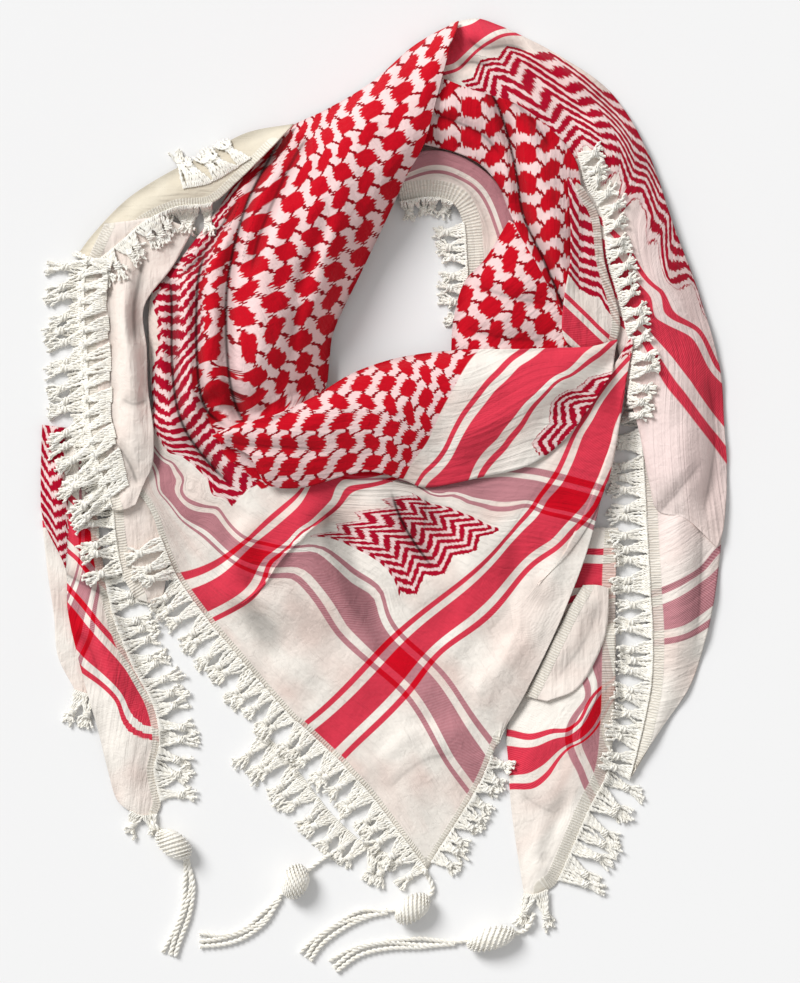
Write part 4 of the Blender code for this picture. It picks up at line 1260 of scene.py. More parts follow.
@dataclass
class Fringe:
    """A row of knotted locks along a hem, or along the plan points of a hidden edge.

    Attributes:
        name: the solid that it stands for.
        root: (cloth, edge, first share, last share) or plan points.
        first, last: lengths of the first and the last lock.
        side: +1 where the locks point to the left of the root line.
        lean: how far they tip along it.
        rows: rows of locks, each further in than the last.
    """

    name: str
    root: tuple[str, Edge, float, float] | Line
    first: float
    last: float
    side: int
    lean: float = 0.0
    rows: int = 1

    ROW_SHIFT = 17.0
    ROW_STAGGER = 0.7
    PITCH = 10.0
    SWAY = 0.18
    VARIES = 1.5             # how much the locks' lengths vary
    POINTS = 400             # on the root line

    def root_line(self, sheets: dict[str, ClothSheet]) -> Array:
        """The edge that the fringe hangs from.

        Args:
            sheets: the scarf's cloth by name.

        Returns:
            Points (x, y, height), evenly spaced.
        """
        if isinstance(self.root[0], str):
            cloth, edge, first, last = self.root
            return evenly(sheets[cloth].edge_line(edge, first, last), self.POINTS)
        plan = evenly(spline(np.array(self.root, float), EDGE_POINTS), self.POINTS)
        return np.column_stack([plan, np.zeros(len(plan))])

    def lines(self, sheets: dict[str, ClothSheet], ground: HeightMap) -> list[Array]:
        """Centrelines of every yarn, laid on what is below.

        Args:
            sheets: the scarf's cloth by name.
            ground: what is below.

        Returns:
            The centrelines.
        """
        root = self.root_line(sheets)
        outward = self.side * sideways(root)
        count = max(2, round(lengths(root)[-1] / self.PITCH))
        rng = np.random.default_rng(len(self.name) + count)
        laid = []
        for k in range(self.rows * count):
            row = k // count
            middle = (k - row * count + 0.5 * (1 - self.ROW_STAGGER * row)) / count
            here = min(int(middle * (self.POINTS - 1)), self.POINTS - 2)
            along = root[here + 1, :2] - root[here, :2]
            along /= np.linalg.norm(along) + 1e-9
            ahead = outward[here] + along * (self.SWAY * math.sin(2.4 * k) + self.lean)
            ahead /= np.linalg.norm(ahead)
            reach = (self.first * (1 - middle) + self.last * middle
                     + self.VARIES * math.sin(1.7 * k + 1))
            centre = root[here, :2] - ahead * row * self.ROW_SHIFT
            laid += Lock(root, middle, centre, ahead, along, reach).yarns(ground, rng)
        return laid

    def laid(self, sheets: dict[str, ClothSheet], ground: HeightMap, spinner: YarnTree,
             material: bpy.types.Material) -> Piece:
        """Args:
            sheets: the scarf's cloth by name.
            ground: what lies there already.
            spinner: makes yarn of centrelines.
            material: the yarn's finish.

        Returns:
            The piece.
        """
        lines = self.lines(sheets, ground)
        piece = spinner.spun(self.name + "_yarn", lines, FRINGE_YARN, material)
        for line in lines:
            dense = spline(line, 3 * len(line))
            ground.add(dense[:, :2], dense[:, 2] + 2 * FRINGE_YARN.radius)
        declared(piece, (self.name,))
        LOG.info("%s: %d yarns, %d faces", self.name, len(lines), len(piece.data.polygons))
        return piece


@dataclass
class Tassel:
    """A plied cord, a head wound with thread, and loose strands past it.

    Attributes:
        name: the solid that it stands for.
        path: plan points from its root to its cut ends.
        head: half width, half length and half height of the head.
    """

    name: str
    path: Line
    head: tuple[float, float, float]

    HEAD_AT = 2              # the path's point at the middle of the head
    LOOSE_FROM = 3           # the path's point past which the strands are loose
    STRANDS = 3
    SPREAD = 3.6             # from one strand to the next
    CORD_CLEAR = 2.0         # a cord's centreline above what it lies on
    STRAND_CLEAR = 1.9
    WINDINGS = 13
    TURN_POINTS = 16         # on one winding
    RINGS, SIDES = 13, 20    # of the head's filling
    FILLING = 0.93           # its width and height in shares of the head's, and its length
    FILLING_LONG = 0.9
    END_ANGLE = 0.02         # how near its poles its end rings lie

    def middle_of_head(self, ground: HeightMap) -> tuple[Array, ...]:
        """Where the head lies.

        Args:
            ground: what is below.

        Returns:
            Its plan point, unit vectors along and across it, and the height of its underside.
        """
        path = np.array(self.path, float)
        axis = path[self.HEAD_AT + 1] - path[self.HEAD_AT - 1]
        axis /= np.linalg.norm(axis)
        middle = path[self.HEAD_AT]
        rest = float(max(0.5, ground.under(middle)))
        return middle, axis, np.array((-axis[1], axis[0])), rest

    def cords(self, ground: HeightMap) -> list[Array]:
        """Centrelines of the cord into the head and of the strands past it.

        Args:
            ground: what is below.

        Returns:
            The centrelines (x, y, height).
        """
        path = np.array(self.path, float)
        cord = evenly(spline(path[:self.LOOSE_FROM + 1], 60), 30)
        cords = [np.column_stack([cord, np.maximum(ground.under(cord), 0) + self.CORD_CLEAR])]
        beyond = np.concatenate([cord[-1:], path[self.LOOSE_FROM + 1:]])
        line = evenly(spline(beyond, 80), 40)
        side = sideways(line)
        share = np.linspace(0, 1, len(line))
        for k in range(self.STRANDS):
            place = k - (self.STRANDS - 1) / 2
            swing = place * self.SPREAD * np.minimum(1, 4 * share)
            swing = swing * (1 + 0.4 * np.sin(7 * share + 2 * k)) + 1.5 * np.sin(5 * share + k)
            plan = line + side * swing[:, None]
            height = np.maximum(ground.under(plan), 0) + self.STRAND_CLEAR
            cords.append(np.column_stack([plan, height]))
        return cords

    def winding(self, ground: HeightMap) -> Array:
        """The thread that is wound round the head.

        Args:
            ground: what is below.

        Returns:
            Its centreline (x, y, height).
        """
        middle, axis, cross, rest = self.middle_of_head(ground)
        half_width, half_length, half_height = self.head
        turn = np.linspace(0, 1, self.TURN_POINTS * self.WINDINGS)
        along = np.cos(np.pi * turn)
        around = 2 * math.pi * self.WINDINGS * turn
        ring = np.sqrt(np.clip(1 - along**2, 0.02, 1))
        lean = 0.28 * np.cos(around)
        plan = (middle + np.outer((along + lean * ring) * half_length * 0.92, axis)
                + np.outer(ring * np.cos(around) * half_width, cross))
        height = rest + half_height + ring * np.sin(around) * half_height
        return np.column_stack([plan, height])

    def filling(self, ground: HeightMap) -> bpy.types.Mesh:
        """The egg that fills the head.

        Args:
            ground: what is below.

        Returns:
            Its mesh.
        """
        middle, axis, cross, rest = self.middle_of_head(ground)
        half_width, half_length, half_height = self.head
        rings, sides = self.RINGS, self.SIDES
        u = np.linspace(self.END_ANGLE, math.pi - self.END_ANGLE, rings)[:, None]
        v = np.linspace(0, 2 * math.pi, sides, endpoint=False)[None]
        along, across, up = np.cos(u) + 0 * v, np.sin(u) * np.cos(v), np.sin(u) * np.sin(v)
        plan = (middle + along[..., None] * axis * half_length * self.FILLING_LONG
                + across[..., None] * cross * half_width * self.FILLING)
        height = rest + half_height + up[..., None] * half_height * self.FILLING
        points = np.concatenate([plan, height], 2).reshape(-1, 3)
        points[:, :2] -= CENTRE
        faces = [(r * sides + s, (r + 1) * sides + s, (r + 1) * sides + (s + 1) % sides,
                  r * sides + (s + 1) % sides) for r in range(rings - 1) for s in range(sides)]
        faces += [tuple(range(sides)), tuple(reversed(range((rings - 1) * sides, rings * sides)))]
        data = bpy.data.meshes.new(self.name + "_ball")
        data.from_pydata((points * MM).tolist(), [], faces)
        data.shade_smooth()
        return data

    def laid(self, ground: HeightMap, spinner: YarnTree,
             material: bpy.types.Material) -> list[Piece]:
        """Args:
            ground: what lies there already.
            spinner: makes yarn of centrelines.
            material: the yarn's finish.

        Returns:
            Its cords, its winding and its filling.
        """
        cords = self.cords(ground)
        ball = placed(self.name + "_ball", self.filling(ground))
        ball.data.materials.append(material)
        pieces = [spinner.spun(self.name + "_cord", cords, CORD_YARN, material),
                  spinner.spun(self.name + "_winding", [self.winding(ground)], WINDING_YARN,
                               material), ball]
        for line in cords:
            ground.add(line[:, :2], line[:, 2] + 2 * CORD_YARN.radius)
        for piece in pieces:
            declared(piece, (self.name,))
        LOG.info("%s: %s faces", self.name, [len(piece.data.polygons) for piece in pieces])
        return pieces


# ---------------------------------------------------------------- the scarf's plan

# Plans of the sheets: a row for each section along the cloth; the stations across it stand in
# the columns that the first line names, each as (x, y).
LEFT_TAIL_BACK = (   # outer edge, ridge, inner edge
    ((-239, -5), (-228, -8), (-215, -10)),
    ((-235, -45), (-225, -48), (-212, -50)),
    ((-230, -80), (-221, -82), (-208, -84)),
    ((-227, -110), (-217, -112), (-204, -114)),
    ((-215, -134), (-210, -136), (-202, -138)),
)
LEFT_TAIL = (   # outer edge, ridge, inner hem
    ((-238, 52), (-222, 50), (-200, 48)),
    ((-239, 15), (-224, 12), (-200, 8)),
    ((-237, -15), (-220, -20), (-198, -24)),
    ((-222, -48), (-208, -50), (-194, -52)),
    ((-220, -78), (-204, -80), (-186, -86)),
    ((-213, -110), (-194, -112), (-174, -116)),
    ((-205, -140), (-184, -141), (-160, -143)),
    ((-198, -165), (-178, -166), (-155, -168)),
    ((-192, -190), (-177, -191), (-159, -190)),
    ((-186, -210), (-174, -214), (-155, -212)),
    ((-176, -219), (-168, -222), (-158, -221)),
)
RIGHT_TAIL = (   # inner edge, ridge, outer hem
    ((128, -20), (145, -20), (165, -20)),
    ((122, -60), (143, -60), (163, -60)),
    ((105, -110), (135, -110), (163, -110)),
    ((88, -155), (125, -150), (162, -152)),
    ((88, -185), (120, -182), (158, -190)),
    ((90, -215), (115, -213), (146, -215)),
    ((94, -245), (113, -245), (134, -243)),
    ((98, -270), (110, -270), (123, -267)),
    ((99, -277), (107, -277), (115, -274)),
)
RIGHT_UNDER_FOLD = (   # left edge, crown, right edge
    ((140, -60), (150, -60), (158, -62)),
    ((131, -75), (143, -80), (157, -88)),
    ((120, -97), (133, -103), (150, -110)),
    ((108, -122), (118, -126), (136, -132)),
    ((100, -138), (105, -139), (115, -141)),
)
RIGHT_WRAP_LOWER = (   # hem, crown, outer foot
    ((179, 60), (205, 60), (232, 55)),
    ((182, 20), (208, 20), (235, 15)),
    ((184, -20), (212, -20), (237, -25)),
    ((186, -60), (210, -60), (233, -64)),
    ((188, -95), (208, -97), (226, -98)),
    ((187, -130), (200, -133), (215, -131)),
    ((180, -165), (188, -166), (194, -162)),
    ((172, -196), (174, -193), (177, -188)),
)
RIGHT_OUTER_WRAP = (   # inner edge, shoulder, flank, outer foot
    ((48, 333), (66, 336), (82, 331), (100, 323)),
    ((42, 321), (70, 322), (95, 317), (122, 311)),
    ((37, 302), (77, 303), (120, 297), (160, 284)),
    ((50, 280), (98, 281), (146, 267), (186, 241)),
    ((95, 258), (128, 250), (165, 228), (203, 192)),
    ((125, 232), (150, 218), (187, 182), (222, 141)),
    ((140, 200), (165, 180), (203, 138), (236, 91)),
    ((150, 165), (175, 140), (210, 98), (239, 52)),
    ((160, 125), (182, 98), (212, 58), (241, 22)),
    ((168, 85), (185, 60), (212, 25), (240, -5)),
    ((178, 50), (189, 20), (213, -2), (238, -22)),
    ((185, 15), (192, -8), (212, -14), (234, -34)),
)
BACK_NECK = (   # upper edge, crown, hem at the neck hole
    ((8, 232), (10, 219), (13, 207)),
    ((30, 242), (32, 225), (33, 210)),
    ((55, 238), (53, 220), (49, 206)),
    ((80, 219), (70, 206), (56, 193)),
    ((92, 190), (76, 181), (58, 172)),
    ((86, 165), (72, 158), (59, 150)),
    ((80, 130), (70, 126), (59, 122)),
    ((76, 108), (68, 107), (58, 107)),
)
RIGHT_INNER_ROLL = (   # foot in the neck hole, flank, crown, outer edge
    ((88, 194), (94, 190), (102, 186), (112, 180)),
    ((72, 168), (85, 166), (100, 164), (120, 160)),
    ((57, 151), (75, 148), (98, 146), (125, 140)),
    ((50, 128), (70, 126), (95, 124), (128, 120)),
    ((48, 104), (70, 100), (95, 98), (130, 98)),
    ((50, 92), (70, 88), (95, 86), (128, 88)),
)
RIGHT_NECK_ROLL = (   # foot in the neck hole, flank, crown, shoulder, outer edge
    ((25, 247), (26, 260), (29, 274), (34, 286), (39, 293)),
    ((50, 241), (52, 253), (55, 266), (58, 276), (61, 284)),
    ((68, 232), (75, 243), (82, 256), (87, 266), (92, 274)),
    ((80, 218), (89, 228), (100, 240), (110, 249), (118, 255)),
    ((87, 202), (98, 209), (110, 218), (123, 228), (134, 235)),
    ((95, 184), (106, 190), (117, 197), (128, 205), (138, 212)),
    ((106, 165), (114, 169), (122, 174), (130, 180), (137, 186)),
    ((115, 148), (120, 151), (126, 154), (131, 158), (135, 162)),
    ((126, 128), (128, 128), (129, 128), (131, 129), (132, 130)),
)
RIGHT_SHOULDER_FOLD = (   # inner edge, crown, hem
    ((128, 222), (133, 220), (139, 216)),
    ((130, 195), (140, 196), (150, 196)),
    ((130, 165), (142, 166), (154, 165)),
    ((126, 140), (142, 140), (161, 141)),
    ((125, 115), (143, 118), (165, 122)),
    ((135, 101), (149, 102), (162, 106)),
)
LEFT_LOWER_FOLD = (   # hem, crown, inner edge
    ((-200, 40), (-180, 40), (-158, 38)),
    ((-190, 5), (-172, 3), (-152, 0)),
    ((-187, -25), (-172, -28), (-150, -32)),
    ((-182, -52), (-170, -55), (-152, -60)),
    ((-172, -70), (-165, -72), (-155, -74)),
)
LEFT_ROLL_AND_BIB = (   # outer foot or hem, four stations, foot in the neck hole
    ((53, 334), (52, 330), (51, 326), (49, 321), (47, 316), (46, 310)),
    ((22, 317), (25, 311), (28, 303), (31, 295), (34, 287), (38, 279)),
    ((-8, 291), (-3, 283), (4, 272), (12, 262), (20, 253), (29, 246)),
    ((-40, 272), (-32, 262), (-21, 250), (-9, 238), (4, 229), (18, 226)),
    ((-68, 258), (-58, 246), (-45, 232), (-29, 217), (-11, 206), (7, 203)),
    ((-94, 233), (-83, 221), (-67, 207), (-48, 194), (-26, 184), (-4, 180)),
    ((-116, 201), (-103, 192), (-85, 180), (-62, 169), (-38, 160), (-17, 153)),
    ((-140, 169), (-124, 162), (-103, 153), (-78, 144), (-51, 136), (-28, 131)),
    ((-161, 144), (-142, 138), (-118, 131), (-90, 123), (-61, 116), (-35, 113)),
    ((-163, 110), (-145, 108), (-122, 104), (-94, 99), (-65, 95), (-37, 95)),
    ((-162, 82), (-146, 82), (-126, 80), (-100, 77), (-70, 76), (-39, 79)),
    ((-162, 60), (-148, 61), (-132, 61), (-110, 60), (-84, 58), (-45, 68)),
    ((-190, 35), (-163, 33), (-143, 33), (-113, 38), (-72, 42), (-20, 66)),
    ((-163, -6), (-150, -6), (-128, 5), (-97, 18), (-60, 25), (0, 50)),
    ((-155, -28), (-133, -20), (-112, -10), (-88, 8), (-50, 15), (20, 40)),
    ((-144, -55), (-112, -36), (-92, -23), (-66, -2), (-42, 13), (40, 30)),
    ((-122, -86), (-90, -64), (-68, -38), (-25, 4), (0, 18), (70, 30)),
    ((-112, -98), (-74, -60), (-52, -30), (8, 8), (35, 10), (110, 40)),
    ((-67, -150), (-10, -98), (8, -75), (65, -38), (108, 22), (150, 80)),
    ((-57, -159), (-2, -107), (22, -84), (75, -45), (120, 20), (162, 95)),
    ((-30, -184), (20, -133), (45, -108), (98, -64), (151, -2), (173, 105)),
    ((-22, -193), (27, -142), (50, -117), (85, -85), (114, -55), (150, -10)),
    ((-10, -206), (36, -155), (57, -133), (80, -112), (103, -94), (129, -73)),
    ((4, -224), (46, -172), (62, -152), (75, -145), (88, -138), (102, -131)),
    ((31, -260), (66, -204), (77, -179), (79, -174), (81, -170), (82, -166)),
)
LEFT_BACK_FOLD = (   # outer edge, crown, hem
    ((-62, 262), (-68, 255), (-76, 246)),
    ((-95, 256), (-97, 240), (-100, 222)),
    ((-125, 240), (-122, 222), (-119, 206)),
    ((-150, 228), (-147, 214), (-143, 203)),
    ((-178, 210), (-172, 200), (-165, 193)),
    ((-200, 188), (-192, 182), (-184, 177)),
    ((-214, 170), (-208, 166), (-202, 163)),
)
LEFT_OUTER_WRAP = (   # hem, flank, ridge, inner edge
    ((-194, 192), (-175, 194), (-155, 196), (-132, 188)),
    ((-207, 162), (-188, 165), (-168, 164), (-147, 161)),
    ((-209, 135), (-191, 136), (-177, 136), (-166, 134)),
    ((-207, 105), (-190, 105), (-176, 105), (-164, 104)),
    ((-206, 78), (-190, 77), (-174, 76), (-163, 75)),
    ((-205, 52), (-189, 50), (-173, 48), (-159, 47)),
    ((-199, 28), (-187, 27), (-174, 25), (-160, 24)),
    ((-193, 8), (-184, 8), (-175, 10), (-165, 13)),
    ((-188, -8), (-183, -8), (-178, -7), (-172, -4)),
)
FRONT_ROLL = (   # edge in the neck hole, flank, crown, flank, lower edge
    ((-118, 44), (-117, 43), (-115, 42), (-113, 40), (-112, 38)),
    ((-98, 53), (-99, 48), (-99, 43), (-97, 37), (-92, 30)),
    ((-75, 58), (-76, 50), (-76, 40), (-75, 27), (-80, 10)),
    ((-48, 71), (-50, 62), (-52, 48), (-53, 30), (-55, 8)),
    ((-22, 87), (-24, 76), (-26, 58), (-28, 38), (-30, 15)),
    ((5, 97), (2, 85), (-1, 65), (-4, 42), (-8, 19)),
    ((32, 102), (29, 90), (24, 68), (19, 42), (15, 13)),
    ((60, 104), (57, 94), (50, 72), (42, 45), (32, 8)),
    ((90, 104), (87, 96), (82, 77), (76, 52), (68, 15)),
    ((120, 105), (117, 98), (113, 83), (108, 62), (103, 24)),
    ((145, 106), (143, 101), (140, 92), (136, 76), (131, 46)),
    ((163, 111), (163, 109), (162, 104), (161, 97), (160, 88)),
)


def threads(*rows: tuple) -> tuple[Thread, ...]:
    """Threads from rows of (distance, point, point, ...)."""
    return tuple(Thread(float(row[0]), row[1:]) for row in rows)


def ruled(distance: float, at: Plan, turn: float) -> tuple[Thread, ...]:
    """Straight, even threads: a distance at a point, growing along a direction.

    Args:
        distance: the distance at the point.
        at: the point.
        turn: direction of growth in degrees, from +X towards +Y.

    Returns:
        Three threads of one point each, which fix the rest.
    """
    far = 100
    x, y = far * math.cos(math.radians(turn)), far * math.sin(math.radians(turn))
    return (Thread(distance, (at,)), Thread(distance + far, ((at[0] + x, at[1] + y),)),
            Thread(distance, ((at[0] - y, at[1] + x),)))


# The known threads of each sheet: a distance from the hem, then the points it runs through.
LEFT_P = threads(
    (330, (-84, 58)), (368, (-45, 68)), (390, (-37, 95)), (366, (-65, 95)), (344, (-94, 99)),
    (336, (-103, 95)), (327, (-100, 80)), (322, (-97, 67)),
    (463, (-4, 180)), (434, (-48, 194)), (527, (29, 246)), (485, (-32, 262)), (576, (46, 310)),
    (595, (53, 334)), (415, (-72, 198)), (385, (-85, 165)), (345, (-30, 45)), (350, (0, 45)),
    (195, (-78, 256), (-100, 221), (-122, 166), (-124, 118), (-130, 69), (-117, 41),
     (-100, 20), (-84, 6)),
    (217, (-109, 150), (-109, 110), (-108, 85)), (207, (-98, 200)),
    (180, (-140, 130), (-146, 90), (-138, 48), (-119, 20), (-98, 4), (-125, 190)),
    (165, (-161, 139), (-161, 83), (-159, 48), (-149, 31), (-135, 10), (-118, 1), (-104, -7)),
    (112, (-162, 30), (-155, 5), (-140, -12), (-78, -47), (-60, -47), (-45, -58), (-35, -71),
     (-25, -88), (20, -130), (50, -180), (67, -203)),
    (133, (-148, 25), (-140, 12), (-118, -10), (-72, -38), (-55, -37), (-40, -42), (-20, -60),
     (-5, -71)),
    (143, (-143, 20), (-130, 10), (-115, -5), (-95, -27), (-80, -31), (-70, -33), (-50, -31),
     (-40, -34), (-20, -50), (0, -65), (62, -150), (77, -170)),
    (102, (-78, -54), (-65, -53), (-55, -60), (-48, -68)),
    (165, (-50, -27), (12, -70), (55, -112)), (218, (-14, -12), (46, -45)),
    (331, (88, 23), (105, 23), (120, 20), (150, 12)),
    (321, (40, 8), (60, 14), (85, 16), (100, 14), (115, 11), (143, 4)),
    (300, (45, 6), (60, 3), (75, 0), (95, -1), (113, -5)),
    (289, (60, -5), (75, -9), (90, -9), (100, -6), (128, -15)),
    (270, (22, 4), (45, -5), (62, -11), (80, -20)),
    (0, (-190, 35), (-163, -6), (-155, -28), (-144, -55), (-122, -86), (-112, -98), (-67, -150),
     (-57, -159), (-30, -184), (-22, -193), (-10, -206), (4, -224)),
    (230, (114, -55), (103, -94)),
)
LEFT_Q = threads(
    (450, (-84, 58)), (437, (-45, 68)), (455, (-37, 95)), (471, (-65, 95)), (490, (-94, 99)),
    (492, (-103, 95)), (477, (-100, 80)), (465, (-97, 67)),
    (509, (-4, 180)), (544, (-48, 194)), (546, (29, 246)), (593, (-32, 262)), (590, (46, 310)),
    (607, (53, 334)), (560, (-72, 198)),
    (400, (-155, 60)), (440, (-155, 105)), (483, (-155, 150)), (432, (-128, 110)),
    (427, (-111, 115)), (466, (-111, 155)), (395, (-110, 80)), (505, (-98, 205)),
    (530, (-130, 205)), (398, (-125, 70)), (350, (-125, 25)),
    (330, (-105, -5), (-88, 10), (-190, 0)), (360, (-60, 30)), (340, (-20, 40)),
    (303, (-55, 8), (-65, -2), (-80, -15), (-92, -27), (-105, -37), (-150, -55)),
    (293, (-50, 10), (-58, -5), (-75, -20), (-88, -30), (-100, -42)),
    (272, (-28, 14), (-35, 0), (-50, -15), (-65, -28), (-78, -38), (-88, -50)),
    (263, (-20, 8), (-28, 0), (-50, -20), (-65, -33), (-78, -43), (-82, -55),
     (-88, -65), (-122, -86)),
    (240, (-50, -27), (22, 6), (-112, -98)), (202, (-19, -48), (51, -7)),
    (165, (12, -70), (80, -20), (-67, -150)), (200, (70, 30), (100, 50)),
    (143, (143, 60), (130, 38), (122, 20), (112, 5), (105, -5), (92, -20), (85, -28),
     (-57, -159)),
    (133, (150, 62), (140, 45), (130, 20), (115, 0), (100, -20)),
    (112, (165, 60), (158, 35), (150, 15), (143, 0), (130, -15), (118, -28)),
    (102, (158, 15), (152, 3), (145, -10), (133, -22), (-30, -184), (20, -133)),
    (85, (-22, -193), (50, -117), (114, -55)), (50, (4, -224), (62, -152), (102, -131)),
    (0, (31, -260), (66, -204), (77, -179), (82, -166)),
)
FRONT_ROLL_P = threads(
    (360, (-66, 22), (-37, 24), (-3, 25), (11, 20)),
    (393, (-80, 55), (-42, 53), (-9, 54), (10, 47), (24, 40)),
    (426, (-14, 80), (5, 80), (24, 75), (38, 65)), (459, (38, 98), (53, 92)),
    (355, (109, 30)), (369, (108, 45)), (383, (120, 57)), (397, (121, 73)), (411, (135, 80)),
    (430, (155, 88)), (340, (60, 8)),
)
FRONT_ROLL_Q = threads(
    (330, (58, 98), (44, 72), (29, 40), (14, 16)),
    (303, (97, 103), (80, 88), (68, 75), (55, 58), (48, 45), (40, 30), (28, 18), (22, 8)),
    (293, (112, 104), (95, 92), (78, 75), (65, 58), (55, 42), (48, 28), (38, 16), (28, 5)),
    (272, (140, 102), (125, 88), (105, 72), (92, 58), (80, 42), (68, 30), (60, 13)),
    (263, (150, 100), (130, 85), (115, 75), (105, 65), (97, 52), (88, 42), (78, 30), (68, 17)),
    (240, (155, 88), (145, 82), (130, 78), (122, 70), (115, 56), (109, 42), (109, 30)),
    (446, (-62, 54), (-75, 29), (-49, 79)), (500, (-108, 52), (-118, 35)),
)
OUTER_WRAP_P = threads(
    (402, (139, 241)), (416, (153, 239)), (430, (159, 220)), (444, (169, 218)),
    (458, (169, 199)), (472, (187, 197)), (486, (189, 176)), (500, (198, 151)),
    (514, (214, 148)), (528, (225, 130)), (395, (150, 165)), (430, (175, 140)),
    (485, (210, 98)), (540, (239, 52)), (420, (168, 85)), (490, (212, 25)), (530, (240, -5)),
    (385, (80, 300)), (420, (120, 295)), (455, (160, 284)), (375, (54, 322)), (425, (100, 320)),
    (362, (52, 303)),
)
OUTER_WRAP_Q = threads(
    (105, (54, 338), (62, 336)), (140, (52, 299), (62, 309), (76, 320), (95, 326)),
    (122, (53, 318), (72, 332)), (165, (51, 288), (68, 303), (92, 315), (125, 305), (160, 284)),
    (185, (60, 280), (186, 241)), (210, (95, 258), (203, 192)),
    (240, (139, 241), (153, 239), (159, 220), (169, 218), (169, 199), (187, 197), (189, 176),
     (198, 151), (214, 148), (225, 130)),
    (263, (155, 190), (194, 145), (204, 125), (220, 118), (234, 92)),
    (272, (164, 168), (182, 145), (189, 125), (204, 118), (237, 81)),
    (293, (185, 118), (215, 82), (237, 53)), (302, (179, 114), (202, 79), (233, 42)),
    (315, (168, 85), (212, 25), (240, -5)), (322, (182, 40), (192, -5), (234, -34)),
)
WRAP_LOWER_P = threads(
    (143, (186.5, -66), (205, -59), (223, -49), (236, -34)),
    (133, (189, -76), (223, -58), (238, -45)), (112, (189, -92), (210, -88), (230, -75)),
    (190, (184, -20)), (275, (180, 60), (232, 55)), (0, (172, -196), (177, -188)),
    (60, (188, -140), (210, -135)),
)
WRAP_LOWER_Q = threads(
    (0, (179, 60), (184, -20), (188, -95), (180, -165)), (24, (205, 20), (208, -97)),
    (52, (235, 15), (237, -25), (226, -98)),
)
RIGHT_TAIL_P = threads(
    (143, (138, -122), (143, -140), (131, -174), (138, -189), (148, -211)),
    (133, (145, -109), (150, -127), (146, -145), (138, -164.5), (151, -199)),
    (112, (155.6, -89), (160, -118), (162, -130), (153, -155), (160, -181)),
    (153, (122, -120), (114, -190), (120, -235), (110, -262)), (156, (142, -60), (142, -30)),
    (152, (160, -60), (160, -30)), (160, (90, -170), (95, -250)),
)
RIGHT_TAIL_Q = threads(
    (143, (88.6, -163), (102, -166), (120, -161), (138, -154), (161, -127)),
    (133, (90, -173), (110, -172), (130, -166)), (112, (90, -193), (108, -188), (130, -171)),
    (102, (91, -201), (105, -201), (117, -191), (131, -172.5), (163, -138)),
    (0, (165, -192), (142, -226), (130, -253), (115, -274)), (60, (95, -235), (130, -210)),
    (160, (125, -140), (155, -105)), (143, (139, -36), (160, -36)), (133, (139, -45), (160, -45)),
    (112, (139, -62), (160, -62)), (102, (139, -68), (160, -68)),
)
LEFT_TAIL_P = threads(
    (102, (-202, -92), (-211, -112)), (112, (-209, -85), (-214, -103)),
    (122, (-204, -28), (-203, 5)), (127, (-209, -57)),
    (172, (-224, 50), (-223, 0), (-222, -40)), (190, (-238, 40), (-238, 0), (-232, -35)),
    (46, (-170, -130)), (24, (-160, -150)), (60, (-190, -190)),
)
LEFT_TAIL_Q = threads(
    (133, (-217, -11), (-191, -36)), (112, (-215, -33), (-200, -49)),
    (102, (-213, -42), (-196, -59)), (180, (-200, 36)),
    (143, (-200, -84), (-180, -108), (-163, -135)),
    (102, (-210, -120), (-185, -141), (-155, -168)), (60, (-185, -200)),
    (348, (-232, -30)), (419, (-232, 40)),
)
BACK_NECK_P = threads(
    (132, (8, 234), (30, 244), (55, 240), (80, 221), (92, 190)),
    (104, (12, 221), (32, 228), (54, 224), (72, 208), (82, 183)),
    (60, (13, 207), (33, 210), (49, 206), (56, 193), (58, 172), (59, 150)),
)
SHOULDER_Q = threads(
    (232, (133, 220), (148, 202)), (200, (130, 184), (150, 166)), (168, (130, 156), (158, 130)),
    (145, (128, 142), (145, 126), (163, 110)), (126, (126, 128), (150, 106)),
)

SHOULDER_LOCKS = ((136, 240), (142, 218), (153, 197), (157, 166), (164, 142), (169, 122),
                  (174, 100), (172, 75), (168, 52))

